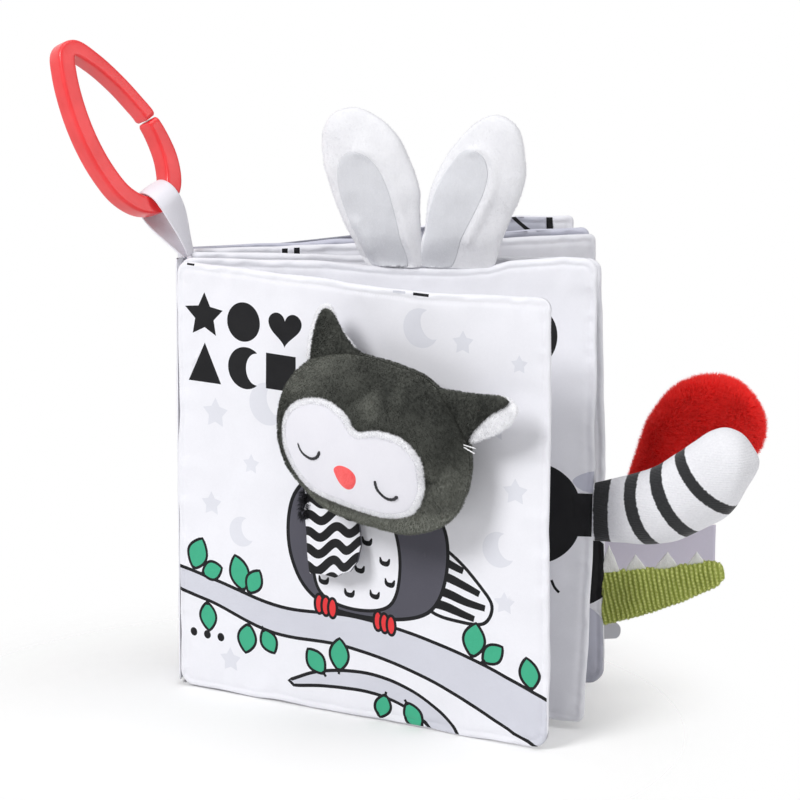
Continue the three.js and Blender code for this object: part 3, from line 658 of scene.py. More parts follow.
def clipped(shape):
    """The part of a shape that lies on the page."""
    points = [tuple(p) for p in shape]
    w, h = PAGE_WIDTH - PRINT_MARGIN, PAGE_HEIGHT - PRINT_MARGIN
    for axis, limit, sign in ((0, PRINT_MARGIN, 1), (0, w, -1), (1, PRINT_MARGIN, 1), (1, h, -1)):
        kept = []
        for a, b in zip(points, points[1:] + points[:1]):
            inside_a, inside_b = (a[axis] - limit) * sign >= 0, (b[axis] - limit) * sign >= 0
            if inside_a:
                kept.append(a)
            if inside_a != inside_b:
                t = (limit - a[axis]) / (b[axis] - a[axis])
                kept.append((a[0] + t * (b[0] - a[0]), a[1] + t * (b[1] - a[1])))
        points = kept
    return np.array(points)


def inside(shape, points):
    """Which points lie in a shape."""
    result = np.zeros(len(points), bool)
    near = np.flatnonzero(np.all((points >= shape.min(0)) & (points <= shape.max(0)), axis=1))
    x, z = points[near].T
    odd = np.zeros(len(near), bool)
    for (ax, az), (bx, bz) in zip(shape, np.roll(shape, -1, axis=0)):
        if az != bz:
            odd ^= ((az > z) != (bz > z)) & (x < (bx - ax) * (z - az) / (bz - az) + ax)
    result[near] = odd
    return result


def cut(points, rim, shapes, kept):
    """Flat points joined into triangles that follow their rim and the shapes.

    Its points and triangles come back, and the number of the last shape that holds each, from 1, or 0."""
    points, edges = [*map(tuple, points)], [(i, (i + 1) % rim) for i in range(rim)]
    for shape in shapes:
        first, count = len(points), len(shape)
        points += [*map(tuple, shape)]
        edges += [(first + i, first + (i + 1) % count) for i in range(count)]
    done = delaunay_2d_cdt([Vector(p) for p in points], edges, [], 0, 1e-4, False)
    flat, triangles = np.array([tuple(v) for v in done[0]]), np.array([tuple(f) for f in done[2]])
    triangles = triangles[kept(flat[triangles].mean(axis=1))]
    middles = flat[triangles].mean(axis=1)
    which = np.zeros(len(triangles), int)
    for number, shape in enumerate(shapes, 1):
        which[inside(shape, middles)] = number
    return flat, triangles, which


# Leaves: padded cloth, sewn round its edge


def page_outline(radii, inset, step):
    """Points round a leaf, drawn in by an inset."""
    w, h = PAGE_WIDTH - inset, PAGE_HEIGHT - inset
    corners = zip(radii, ((w, inset), (w, h), (inset, h), (inset, inset)), (-90, 0, 90, 180))
    line = []
    for radius, (x, z), start in corners:
        r = max(radius - inset, 0.2)
        a = np.radians(np.linspace(start, start + 90, 9))
        x += r if x == inset else -r
        z += r if z == inset else -r
        line.append(np.column_stack([x + r * np.cos(a), z + r * np.sin(a)]))
    line = np.vstack([*line, line[0][:1]])
    return evenly(line, int(reached(line)[-1] / step), True)


def inset_of(points, radii):
    """Distance of points from a leaf's outline, inwards."""
    x, z = points.T
    right, top = x > PAGE_WIDTH / 2, z > PAGE_HEIGHT / 2
    radius = np.where(right, np.where(top, radii[1], radii[0]), np.where(top, radii[2], radii[3]))
    x, z = np.where(right, PAGE_WIDTH - x, x), np.where(top, PAGE_HEIGHT - z, z)
    rounded = radius - np.hypot(radius - x, radius - z)
    return np.where((x < radius) & (z < radius), rounded, np.minimum(x, z))


# Half a leaf's thickness at its edge and at its crown, how far in the crown is, and its seam
EDGE_HALF, CROWN_HALF, CROWN_REACH, SEAM_INSET, SEAM_DIP = 0.85, 2.1, 40.0, 2.4, 0.34


def half_thickness(inset):
    """Half a leaf's thickness at an inset: a rolled edge, the dip of its seam, then up to the crown."""
    roll = np.sqrt(np.clip(1 - (1 - np.clip(inset / 1.1, 0, 1)) ** 2, 0, 1))
    rest = 1 - np.clip(inset / CROWN_REACH, 0, 1)
    dip = SEAM_DIP * np.exp(-(((inset - SEAM_INSET) / 0.5) ** 2))
    return roll * (EDGE_HALF + (CROWN_HALF - EDGE_HALF) * (1 - rest * rest) - dip)


def seam_gather(flat, inset, seed):
    """Small puckers of the cloth along its seam, fading inwards."""
    beside = np.abs(flat[:, 0] - PAGE_WIDTH / 2) > np.abs(flat[:, 1] - PAGE_HEIGHT / 2)
    run = np.where(beside, flat[:, 1], flat[:, 0])
    wide = noise3(np.column_stack([run / 4.6, beside * 9.0, inset / 22]), seed)
    fine = noise3(np.column_stack([run / 2.1, beside * 5.0, inset / 9]), seed + 1)
    wide, fine = wide * (1 - smooth(3, 16, inset)), fine * (1 - smooth(2.6, 5.5, inset))
    return (wide + 0.5 * fine) * smooth(0.1, 1.4, inset)


# The step of the grid of points on a leaf, and the insets of the rings of points round it
GRID = 1.5
RING_INSETS = (0, 0.15, 0.45, 0.9, 1.5, 2.0, 2.4, 2.8, 3.4)


def leaf_piece(k, fronts, backs, warp, base=(None, None)):
    """A padded leaf as one closed piece, cut along the print of both its faces."""
    name, radii = LEAVES[k][0], LEAVES[k][3]
    seed = 100 * k + 3
    rings = [page_outline(radii, inset, GRID * 0.7) for inset in RING_INSETS]
    x, z = np.meshgrid(np.arange(1.7, PAGE_WIDTH, GRID), np.arange(1.7, PAGE_HEIGHT, GRID))
    x = x + (np.arange(len(x)) % 2)[:, None] * GRID / 2
    grid = np.column_stack([x.ravel(), z.ravel()])
    grid = grid[inset_of(grid, radii) > 4]
    points, faces, which, materials, start = [], [], [], [], 0
    for side, shapes, cloth in ((-1, fronts, base[0]), (1, backs, base[1])):
        shapes = [(clipped(shape), material) for shape, material in shapes]
        shapes = [(shape, material) for shape, material in shapes if len(shape) > 2]
        flat, triangles, number = cut(
            np.vstack([*rings, grid]), len(rings[0]), [shape for shape, _ in shapes],
            lambda middles: inset_of(middles, radii) > -0.05,
        )
        own = [cloth or WHITE, *(material for _, material in shapes)]
        materials += [m for m in dict.fromkeys(own) if m not in materials]
        which.append(np.array([materials.index(m) for m in own])[number])
        inset = inset_of(flat, radii)
        soft = fractal(flat * (1, 0.45), 30, seed + side) * 0.5 * smooth(2, 14, inset)
        crinkle = np.abs(fractal(flat * (1, 0.7), 15, seed + 9 + side)) * 0.4 * smooth(3, 9, inset)
        half = half_thickness(inset) + soft - crinkle + seam_gather(flat, inset, seed + 20 + side) * 0.45
        half = np.maximum(half, half_thickness(inset) * 0.45)
        points.append(upright(flat, side * half))
        faces.append(triangles[:, ::-side] + start)
        start += len(flat)
    local = np.vstack(points)
    flat = local[:, [0, 2]]
    out = unit(flat - (PAGE_WIDTH / 2, PAGE_HEIGHT / 2))
    drift = (fractal(flat, 14, seed + 40) * 0.45 - 0.15) * (1 - smooth(0, 12, inset_of(flat, radii)))
    bent = on_leaf(k, local + warp(*flat.T) + upright(out, 0) * drift[:, None])
    piece = make(name + "_padded", bent, np.vstack(faces), materials, np.concatenate(which), local)
    weld(piece)
    layers = [name + part for part in ("_front_cloth", "_back_cloth", "_crinkle_film", "_wadding")]
    dress(piece, name, "white_cloth", *layers, fill=0.35)


def weld(piece):
    """Joins the points of a piece that lie on one another."""
    mesh = bmesh.new()
    mesh.from_mesh(piece.data)
    bmesh.ops.remove_doubles(mesh, verts=mesh.verts, dist=0.002 * MM)
    bmesh.ops.recalc_face_normals(mesh, faces=mesh.faces)
    mesh.to_mesh(piece.data)
    mesh.free()


def bend(top=((0, 0),), right=((0, 0),), left=((0, 0),), bottom=((0, 0),), lean=0.0):
    """A leaf's soft bend: how far its edges lie from the flat cut, and how its top corner leans."""

    def warp(x, z):
        high = smooth(85, 150, z)
        rise = np.interp(x, *zip(*top)) * high + np.interp(x, *zip(*bottom)) * (1 - smooth(0, 50, z))
        outer = np.interp(z, *zip(*right)) * smooth(75, 145, x)
        inner = np.interp(z, *zip(*left)) * (1 - smooth(0, 45, x))
        return np.column_stack([outer + inner, lean * smooth(60, 150, x) * high, rise])

    return warp


# The bend of each leaf, from the front cover to the back cover
BENDS = [
    bend(
        top=((0, -1.2), (34, -1.1), (65, -1.5), (85, -1.8), (101, -1.9), (125, -0.2), (145, 0.9)),
        right=((0, 0.3), (51, -0.2), (85, -0.6), (118, -0.9), (150, -1.3)),
        left=((0, 1.5), (150, 1.7)),
    ),
    bend(
        top=(
            (0, -1.4), (52, -0.6), (82, -2.3), (93, -1.9), (107, -0.5), (114, 1.5), (123, 2.6), (133, 3.4),
            (145, 3),
        ),
        right=((0, 1.5), (29, 1.1), (61, 0.4), (81, -0.5), (107, -1.7), (140, -2.9), (150, -2.9)),
        bottom=((0, 0), (90, 0.8), (145, 2.2)),
    ),
    bend(right=((0, 0.8), (30, 0.3), (76, -0.1), (116, -1.5), (150, -2.9))),
    bend(top=((0, 0), (90, 0.2), (145, 1.2)), right=((0, 0), (100, 0), (150, -0.9))),
    bend(top=((0, 0), (90, 0.4), (145, 1.4)), right=((0, 0), (150, 0.4)), lean=-1.0),
    bend(top=((0, -1.5), (23, -2.0), (61, -0.3), (100, 2.6), (123, 3.6), (145, 2.8)), lean=-4.5),
]


# The bird's tail and the bars on it, its body, its belly and the flecks there
BIRD_TAIL = [(100, 66), (109, 62.5), (118, 55), (124.5, 46.5), (122, 40.5), (113, 39.5), (100, 43)]
BIRD_TAIL_BARS = [
    [(100, 60.5), (106, 59.5), (114, 57)], [(100, 55), (108, 54), (114, 52.2), (120, 50)],
    [(100, 49.5), (108, 48.5), (115, 46.6), (122, 45.4)], [(100, 44.6), (107, 44), (114, 42.2),
     (118, 41.2)],
]
BIRD_BODY = [
    (46.2, 58), (48.5, 74), (60, 84), (78, 86), (96, 82), (107, 70), (107, 52), (101, 41), (84, 36),
    (62, 37), (51.5, 44),
]
BIRD_BELLY = [(56, 56), (61, 74), (74, 79), (86, 71), (90, 54), (86, 41), (70, 37.6), (58.5, 42)]
FLECKS = [(60, 46), (70, 43), (80, 44), (64, 55), (74, 52), (84, 56), (77, 62), (82, 70), (86, 49)]


def bird():
    """A plain rounded bird's body with a pale belly, feet and a striped tail."""
    shapes = outlined(blob(*BIRD_TAIL), WHITE)
    shapes += [(stroke(line, [3.3, 3.1, 2.2], 24), BLACK) for line in BIRD_TAIL_BARS]
    shapes += outlined(blob(*BIRD_BODY), CHARCOAL, 1.3)
    shapes += outlined(blob(*BIRD_BELLY), WHITE)
    for x, z in FLECKS:
        line = [(x - 1.7, z + 1.3), (x - 1.1, z - 0.5), (x + 1.1, z - 0.7), (x + 2, z + 1.1)]
        shapes.append((stroke(line, [0.5, 1.6, 1.8, 0.5], 16), BLACK))
    for x, z in ((61, 37), (84, 34.6)):
        for step in (-2.6, 0, 2.6):
            shapes += outlined(ellipse(x + step, z - step * 0.15, 1.7, 3.4), RED_PRINT, 1.0)
    return shapes


# Each leaf of the sprigs: where it starts, its length, its width and its turn
SPRIGS = [
    (6, 42, 12, 8, 70), (10, 41, 9, 6.5, 20), (28, 37.5, 12.5, 8, 108), (30, 37, 9.5, 6.5, 62),
    (117, 28, 12, 8, 82), (121, 27, 9.5, 6.5, 40), (139, 20, 11, 7, 100), (60, 13, 10, 7, 128),
    (66, 15, 11.5, 7.5, 88), (30, 26, 10.5, 7.5, 262), (36, 25, 9, 6.5, 300), (12, 31, 10, 7, 275),
    (92, 8, 10.5, 7, 300), (84, 9.5, 9, 6, 255),
]


def cover_print():
    """A branch with sprigs under pale moons and stars, a bird, and bold shapes at the top left."""
    stars = [
        (16, 98, 5.5), (31, 82, 3.6), (124, 108, 6.5), (113, 134, 4.2), (133, 86, 4.6), (134, 128, 3.2),
        (14, 66, 4.4), (60, 136, 3.4), (129, 48, 4.0), (22, 12, 4.6),
    ]
    moons = [(38, 104, 7.5), (127, 66, 6.0), (27, 58, 5.2), (97, 138, 6.8), (126, 18, 5.0)]
    shapes = [(star(x, z, r, 0.55), PALE_GREY) for x, z, r in stars]
    shapes += [(moon(x, z, r, 20), PALE_GREY) for x, z, r in moons]
    branches = [
        ([(46, 8.5), (58, 13.5), (78, 16), (96, 12), (108, 4), (114, -4)],
         [(104, -4), (98, 3), (88, 7.5), (76, 9.5), (60, 8.6), (48, 7)]),
        ([(-4, 43), (18, 39), (44, 34), (72, 35), (98, 32), (124, 25), (150, 15)],
         [(150, -4), (126, 7), (100, 18), (70, 24), (40, 24.5), (16, 31), (-4, 35)]),
    ]
    for over, under in branches:
        branch = np.vstack([through(over, 60, False), through(under, 60, False)])
        shapes += outlined(branch, MID_GREY)
    shapes += bird()
    for x, z, length, width, turn in SPRIGS:
        shapes += outlined(leaflet(x, z, length, width, turn), GREEN, 1.0)
        way = turned([(1, 0)], turn)[0]
        shapes.append((stroke([(x, z) - way * 1.2, (x, z) + way], 1.0, 4), BLACK))
    bold = [
        star(11.5, 132, 8.2), ellipse(28, 131.5, 6.8), heart(45, 131.5, 6.6), moon(29, 115.5, 7.4),
        np.array([(4.5, 108.5), (18.5, 108.5), (11.5, 122.5)]), box(37.5, 109.5, 12, 12.5),
    ]
    bold += [ellipse(x, 19.5, 1.5, count=20) for x in (6, 12, 18)]
    bold += [box(93.7, 148.7, 6, 1), box(4.2, 148.9, 3, 1)]
    return shapes + [(shape, BLACK) for shape in bold] + [(box(85.9, 148.8, 4.8, 0.9), MID_GREY)]


def leaf_2_print():
    """Plain round shapes, and a bar that runs on into the striped tail."""
    shapes = [
        (ellipse(120.7, 125.2, 11, 10.4), BLACK),
        (ellipse(124.8, 69.5, 16.6, count=72), BLACK),
        (box(138, 62.8, 8, 14), BLACK),
        (blob((137.6, 80.6), (141, 83.2), (146, 83.8), (147, 78), (141.6, 77.6)), LIGHT_BAND),
        (stroke([(131.6, 48), (132.8, 45.6), (134.4, 44)], 0.9, 10), BLACK),
    ]
    stars = ((30, 120), (70, 112), (34, 74), (80, 66), (36, 28), (84, 24))
    spots = ((52, 96), (56, 48), (108, 24), (16, 98), (14, 50))
    shapes += [(star(x, z, 6.5), MID_GREY) for x, z in stars]
    return shapes + [(ellipse(x, z, 4.5), BLACK) for x, z in spots]


def leaf_3_print():
    """Large plain dots."""
    spots = [
        (136.5, 40.8, 12.5, BLACK), (131, 13.5, 16.7, LIGHT_BAND), (40, 110, 16, BLACK),
        (84, 96, 12, MID_GREY), (52, 58, 13, DARK_BAND), (96, 44, 9, BLACK), (30, 24, 10, MID_GREY),
        (70, 20, 8, BLACK), (112, 120, 10, MID_GREY),
    ]
    return [(ellipse(x, z, r, count=60), material) for x, z, r, material in spots]


def leaf_6_print():
    """A grey field that ends in a black bar."""
    field = np.array([(18, 112), (134.6, 118), (134.6, 150), (18, 150)], float)
    line = stroke([(121.5, 150), (124, 147.5), (128, 144.5), (134, 142.5)], 1.3, 20)
    lower = [(ellipse(x, 60, 16), MID_GREY) for x in (36, 76, 116)]
    return [(field, DARK_BAND), (box(134.4, 112, 2.4, 38), BLACK), (line, BLACK), *lower]


def dots(material, step, radius):
    """Rows of dots, each row half a step on."""
    return [
        (ellipse(x, z, radius, count=36), material)
        for row, z in enumerate(np.arange(20, PAGE_HEIGHT - 10, step))
        for x in np.arange(18 + (row % 2) * step / 2, PAGE_WIDTH - 10, step)
    ]


def wavy(material, step=18, width=7, lift=4):
    """Waves across the page."""
    x = np.linspace(6, PAGE_WIDTH - 6, 60)
    return [
        (stroke(np.column_stack([x, z + lift * np.sin(x / 11)]), width, smoothed=False), material)
        for z in np.arange(16, PAGE_HEIGHT - 8, step)
    ]


# The prints of each leaf's front and back, and the colours of their cloths where they aren't white
dashes = [(box(x, 144.6, 2, 4.7), BLACK) for x in (34.4, 38.6)]
band = [(blob((114, 136), (118, 158), (130, 158), (126, 136)), DARK_BAND)]
PRINTS = [
    (cover_print(), wavy(PALE_GREY)),
    (leaf_2_print(), dots(MID_GREY, 30, 9)),
    (leaf_3_print(), dots(PALE_GREY, 26, 8)),
    (dots(CHARCOAL, 30, 6)[:-5] + dashes, wavy(MID_GREY, 24, 8, 5)),
    (wavy(WHITE, 30, 9, 4)[:-1] + band, dots(WHITE, 28, 8), (LIGHT_BAND, MID_GREY)),
    (leaf_6_print(), wavy(PALE_GREY, 24, 8, 5)),
]
for k, (fronts, backs, *base) in enumerate(PRINTS):
    leaf_piece(k, fronts, backs, BENDS[k], *base)


# Spine: cloth that bridges each two neighbours


def spine(a, b):
    """The cloth between the spine edges of leaves a and b."""
    up = np.linspace(1.2, PAGE_HEIGHT - 1.2, 60)
    line = np.column_stack([np.full(60, 1.2), np.zeros(60), up])
    first, last = on_leaf(a, line), on_leaf(b, line)
    out = on_leaf(a, line - (2.2, 0, 0)) - first
    outer, inner = [], []
    for t in np.linspace(0, 1, 13):
        bow = math.sin(math.pi * t)
        puckers = 0.08 * fractal(np.column_stack([up, np.full(60, t * 3)]), 7, 70 + a)
        outer.append(first * (1 - t) + last * t + out * ((0.6 + puckers) * bow)[:, None])
        inner.append(outer[-1] - out * 0.27 * (0.3 + bow))
    loops = np.array(outer + inner[::-1]).transpose(1, 0, 2)
    points = np.vstack([loops[0].mean(0), loops.reshape(-1, 3), loops[-1].mean(0)])
    piece = make(f"spine_cloth_{a + 1}_{b + 1}", points, tube_faces(60, loops.shape[1]), [WHITE])
    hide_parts("spine_fold_" + LEAVES[a if a < 2 else b][0])
    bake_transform(piece)


for k in range(5):
    spine(k, k + 1)


# Owl head

HEAD_WIDTH, HEAD_HEIGHT, HEAD_FRONT, HEAD_BACK, HEAD_TILT = 73.0, 55.0, 15.0, 12.4, -7.0
# Outlines of the head and of its face, as shares of the head's width and height
HEAD_SHARES = [
    (0.5, -0.06), (0.44, 0.24), (0.25, 0.45), (0, 0.5), (-0.26, 0.47), (-0.44, 0.27),
    (-0.485, -0.02), (-0.4, -0.29), (-0.2, -0.46), (0.04, -0.5), (0.28, -0.47), (0.44, -0.33),
]
FACE_SHARES = [
    (0.342, -0.14), (0.322, -0.005), (0.238, 0.104), (0.122, 0.135), (0.03, 0.12), (-0.033, 0.207),
    (-0.125, 0.267), (-0.233, 0.265), (-0.342, 0.198), (-0.389, 0.093), (-0.384, -0.056), (-0.325, -0.191),
    (-0.237, -0.296), (-0.101, -0.345), (0.023, -0.378), (0.173, -0.396), (0.279, -0.353), (0.336, -0.225),
]
HEAD_PLACE = (87, -15.2, 100)
head_frame = places[0] @ Matrix.Translation(HEAD_PLACE)
head_outline = turned(through(np.array(HEAD_SHARES) * (HEAD_WIDTH, HEAD_HEIGHT), 150), HEAD_TILT)
head_angle = np.arctan2(*head_outline.T[::-1])
head_order = np.argsort(head_angle)
head_angle, head_reach = head_angle[head_order], np.hypot(*head_outline.T)[head_order]


def head_depth(flat):
    """How far the head's front stands before its seam, at points of its plane."""
    reach = np.interp(np.arctan2(flat[:, 1], flat[:, 0]), head_angle, head_reach, period=2 * math.pi)
    share = np.clip(np.hypot(*flat.T) / reach, 0, 1)
    return HEAD_FRONT * np.sqrt(1 - share**2)


def groove(flat, a, b, width, depth):
    """A soft dent along the line from a to b."""
    a, b = np.array(a, float), np.array(b, float)
    t = np.clip((flat - a) @ (b - a) / ((b - a) @ (b - a)), 0, 1)
    away = np.linalg.norm(flat - a - t[:, None] * (b - a), axis=1)
    return depth * np.exp(-((away / width) ** 2)) * np.sin(math.pi * np.clip(t, 0.08, 0.92))


def painted_sheen_and_mottling(points):
    """Painted sheen: how much lighter the head's nap is made at its lower rim, right cheek, upper left and
    brow, with some random mottling.
    """
    x, _, z = points.T
    share = np.hypot(x / HEAD_WIDTH, z / HEAD_HEIGHT) * 2
    low_rim = smooth(-12, -24, z + 0.12 * x) * smooth(0.6, 0.92, share)
    right_cheek = smooth(12, 26, x) * smooth(10, -12, z)
    left_top = smooth(14, 24, z - 0.25 * x) * smooth(6, -16, x)
    brow = np.exp(-(((x - 6) / 4) ** 2)) * np.exp(-(((z - 15) / 6) ** 2))
    result = 0.9 * low_rim + 0.42 * right_cheek + 0.32 * left_top + 0.4 * brow
    return np.clip(result + 0.16 * fractal(points, 9, 91) + 0.08, 0, 1)


def nap(name, matrix, points, faces, pile, material, body, slot, painted_sheen=None, **options):
    """A piece's pile, as strands that stand on it: their number, length, thickness and seed."""
    strands, made, tips = fibres(points, faces, *pile, **options)
    # A given function paints sheen on the strands, added to their lighter tips; the owl's ears get almost
    # none.
    if painted_sheen:
        tips = np.clip(painted_sheen(strands) + 0.22 * tips, 0, 1)
    add(name, matrix, strands, made, STRANDS[material.name], body, slot, tip=tips)


# Dents in the head: the ends of each, its width and its depth
GROOVES = [((9, 25), (-5, 12), 2.4, 2.2), ((31, -9), (19, -8), 1.6, 1.6), ((33, 2), (27, -14), 2.2, 1.2)]
SEAM_DENT, HEAD_BARE_BACK = 0.35, 9


def head():
    """The plush head with its dents and its seam, and its nap."""
    points, faces = pillow(head_outline, np.zeros(2), HEAD_FRONT, HEAD_BACK, edge=0, rings=40)
    push = fractal(points, 14, 11) * 0.45 + fractal(points, 2.2, 17) * 0.14
    for a, b, width, depth in GROOVES:
        push -= np.where(points[:, 1] < 0, groove(points[:, [0, 2]], a, b, width, depth), 0)
    push -= SEAM_DENT * np.exp(-((points[:, 1] / 0.7) ** 2))
    push *= np.where(points[:, 1] > 10, 0.2, 1)
    dented = points + outward(points, faces) * push[:, None]
    # Its attribute tip carries painted sheen: the head is made lighter at its lower rim, right cheek, upper
    # left and brow.
    add(
        "owl_head_form", head_frame, dented, faces, OWL_PLUSH, "owl_head", "grey_plush",
        "owl_head_plush", "owl_head_stuffing", fill=0.8, place=points, tip=painted_sheen_and_mottling(points),
    )
    nap(
        "owl_head_nap", head_frame, dented, faces, (60000, 0.8, 0.15, 5), OWL_PLUSH, "owl_head", "grey_plush",
        only=lambda middles: middles[:, 1] < HEAD_BARE_BACK, painted_sheen=painted_sheen_and_mottling,
    )


head()


def face_surface(flat, off):
    """Points on the head's face, some way off it."""
    deep = head_depth(flat)
    step = 0.2
    slope_x = (head_depth(flat + (step, 0)) - deep) / step
    slope_z = (head_depth(flat + (0, step)) - deep) / step
    way = unit(np.column_stack([-slope_x, -np.ones(len(flat)), -slope_z]))
    return upright(flat, -deep) + way * np.asarray(off)[..., None]


def patch(outline, centre, off, thick, rings, rounding, wobble, seed):
    """A soft flat piece that follows the face, closed at the back."""
    front, back = [], []
    for share in 1 - (1 - np.linspace(0, 1, rings)[1:]) ** 1.6:
        flat = centre + (outline - centre) * share
        rest = max(0.0, (share - 1 + rounding) / rounding)
        bumps = wobble * fractal(flat, 9, seed) * (1 - rest)
        front.append(face_surface(flat, off + thick * math.sqrt(max(0.0, 1 - rest * rest)) + bumps))
        back.append(face_surface(flat, off - 0.3))
    tips = [face_surface(np.array([centre]), height) for height in (off + thick, off - 0.3)]
    rows = front + back[::-1]
    return np.vstack([tips[0], *rows, tips[1]]), tube_faces(len(rows), len(outline))


face_outline = grown(through(np.array(FACE_SHARES) * (HEAD_WIDTH, HEAD_HEIGHT), 220), -1.5) + (0.7, 0.5)
points, faces = patch(
    grown(face_outline, -0.3), (-2.0, -4.0), 0.4, 0.9, rings=30, rounding=0.03, wobble=0.1, seed=31
)
add("owl_face_cloth", head_frame, points, faces, FACE_PLUSH, "owl_head", "white_plush", "owl_face_patch")

BORDER_HALF, BORDER_HEIGHT, BORDER_POINTS = 1.15, 0.95, 640


def face_border():
    """The border of the face: close stitches of white thread side by side, with loose strands."""
    line = around(face_outline, BORDER_POINTS)
    side = left_of(unit(np.roll(line, -1, axis=0) - np.roll(line, 1, axis=0)))
    ragged = np.random.default_rng(8).uniform(-0.2, 0.2, (2, BORDER_POINTS))
    ridge = 0.12 * np.sin(np.arange(BORDER_POINTS) * math.pi / 2)
    rows = []
    for turn in np.linspace(0, math.pi, 11):
        reach = math.cos(turn) * BORDER_HALF
        flat = line + side * (reach + ragged[0 if reach > 0 else 1] * abs(math.cos(turn)))[:, None]
        rows.append(face_surface(flat, 0.5 + math.sin(turn) * (BORDER_HEIGHT + ridge)))
    points, faces = np.vstack(rows), tube_faces(11, BORDER_POINTS, capped=False)
    add("owl_face_border", head_frame, points, faces, WHITE_THREAD, "owl_head", "white_plush")
    nap(
        "owl_face_border_nap", head_frame, points, faces, (16000, 0.75, 0.1, 9), WHITE_THREAD, "owl_head",
        "white_plush", comb=(0, -0.2, 0),
    )


face_border()

THREAD_TWIST, PLY_DEPTH = 2.2, 0.14


def thread(name, path, radius, material, slot, *nodes):
    """A thick thread of two plies on the head. radius is one number or some along the path."""
    fine = evenly(through(path, 300, closed=False), max(24, len(path) * 22), False)
    way = unit(np.gradient(fine, axis=0))
    side = unit(np.cross(way, (0.0, -1.0, 0.0)))
    up = np.cross(side, way)
    reach = reached(fine)
    radii = graded(radius, reach / reach[-1])
    a = round_angles(14)
    loops = []
    for k in range(len(fine)):
        ply = 1 + PLY_DEPTH * np.cos(2 * (a - reach[k] / THREAD_TWIST * 2 * math.pi))
        end = min(1.0, 0.35 + min(reach[k], reach[-1] - reach[k]) / 0.6)
        out = side[k] * np.cos(a)[:, None] + up[k] * np.sin(a)[:, None]
        loops.append(fine[k] + out * (radii[k] * end * ply)[:, None])
    points = np.vstack([fine[:1], *loops, fine[-1:]])
    add(name, head_frame, points, tube_faces(len(fine), 14), material, "owl_head", slot, *nodes)


# Each closed eye: its line, and the thread's radius along it
LIDS = {
    "left": (
        [(-19.9, -0.1), (-18.6, -2.5), (-16.5, -3.8), (-13.8, -4.3), (-11.6, -3.2), (-10.7, -1.3)],
        (0.3, 0.42, 0.56),
    ),
    "right": (
        [(9.6, -8.3), (10.1, -10.9), (11.7, -12.9), (13.5, -14.0), (15.5, -13.9), (16.9, -12.8)],
        (0.46, 0.42, 0.58),
    ),
}
LID_HEIGHT = 1.35
for which_side, (spots, radii) in LIDS.items():
    path = face_surface(through(spots, 8, closed=False), LID_HEIGHT)
    thread(f"owl_lid_{which_side}", path, radii, THREAD, "black_thread", f"owl_eye_{which_side}")

NOSE = [
    (-5.6, -6.2), (-3.4, -4.7), (0.4, -5.3), (2.7, -7.3), (2.9, -9.6), (1.2, -12.2), (-1, -12.8),
    (-3.2, -11.6), (-4.9, -8.9),
]
points, faces = patch(through(NOSE, 60), (-1.2, -8.4), 1.0, 0.9, rings=14, rounding=0.7, wobble=0.15, seed=41)
add("owl_nose_felt", head_frame, points, faces, CORAL_FELT, "owl_head", "coral_felt", "owl_nose")

# Each owl ear: the outline of its front, of its lining, and how far the lining lies behind
OWL_EARS = {
    "left": (
        [(-23.6, 22), (-23.4, 27), (-22.5, 32.7), (-20.9, 38.6), (-18.3, 42.2), (-15.2, 40.6),
         (-12, 35.6), (-8.5, 31.1), (-3, 27), (-8, 19), (-18, 15)],
        [(-26.2, 22), (-26, 30), (-24.4, 37), (-21.6, 42.2), (-18.4, 43.2), (-14, 36), (-7, 26), (-14, 18)],
        2.6,
    ),
    "right": (
        [(24, 20), (29.3, 20.6), (34.4, 20.4), (41, 20.4), (47, 20.6), (49.8, 19.2), (47.5, 17.2),
         (44, 14.8), (40.3, 11.2), (36.4, 6.8), (34.2, 3.4), (28, 2), (22, 8)],
        [(30, 18), (41, 19.4), (48.8, 20.2), (52.2, 17.2), (51.2, 13.6), (47.2, 9.6), (40.6, 5.9),
         (35.6, 3.9), (30, 6)],
        1.4,
    ),
}


def no_painted_sheen(points):
    """No painted sheen: the nap of the ears keeps its own dark colour."""
    return np.full(len(points), 0.02)


for which_side, (front, lining, behind) in OWL_EARS.items():
    for part, spots, off, half, plush, slot, painted_sheen in (
        ("", front, 0, 2.4, OWL_PLUSH, "grey_plush", no_painted_sheen),
        ("_lining", lining, behind, 1.8, WHITE_THREAD, "white_plush", None),
    ):
        outline = through(spots, 110)
        points, faces = pillow(outline, outline.mean(axis=0), half, half, rings=18)
        points = lumpy(points, faces, (6, 0.2, 51), (1.8, 0.05, 52)) + (0, off, 0)
        name = f"owl_ear_{which_side}{part}"
        add(name + "_plush", head_frame, points, faces, plush, "owl_head", slot, name, fill=0.4)
        pile = (9000, 0.7, 0.14, 53)
        nap(name + "_nap", head_frame, points, faces, pile, plush, "owl_head", slot, painted_sheen)

# Loose ends of thread at the foot of the right ear
THREAD_ENDS = [((34, -2, 3.9), (39.6, -2.6, 3.3)), ((34.4, -2, 3.2), (39.2, -2.4, 1.5))]
for number, ends in enumerate(THREAD_ENDS, 1):
    thread(f"owl_thread_end_{number}", evenly(np.array(ends), 8, False), 0.2, WHITE_THREAD, "white_plush")


# Wing flap

WING_OUTLINE = [
    (-11.6, 0.8), (8, 0.8), (8.8, -4), (11, -9.5), (12.8, -14), (13, -19.5), (10.4, -23.2), (6.5, -24.6),
    (3.4, -26.6), (-2, -26.2), (-6.9, -26.6), (-8.6, -20), (-9.8, -12), (-11.2, -5),
]
WING_PLACE, WING_LEAN, WING_THICK, WING_CURL = (65, -2.4, 75.5), -8, 0.9, 4.0
WAVE_STEP, WAVE_WIDTH, WAVE_HEIGHT, WAVE_SLANT = 5.6, 3.0, 1.5, 0.26
wing_frame = places[0] @ Matrix.Translation(WING_PLACE) @ Matrix.Rotation(math.radians(WING_LEAN), 4, "X")


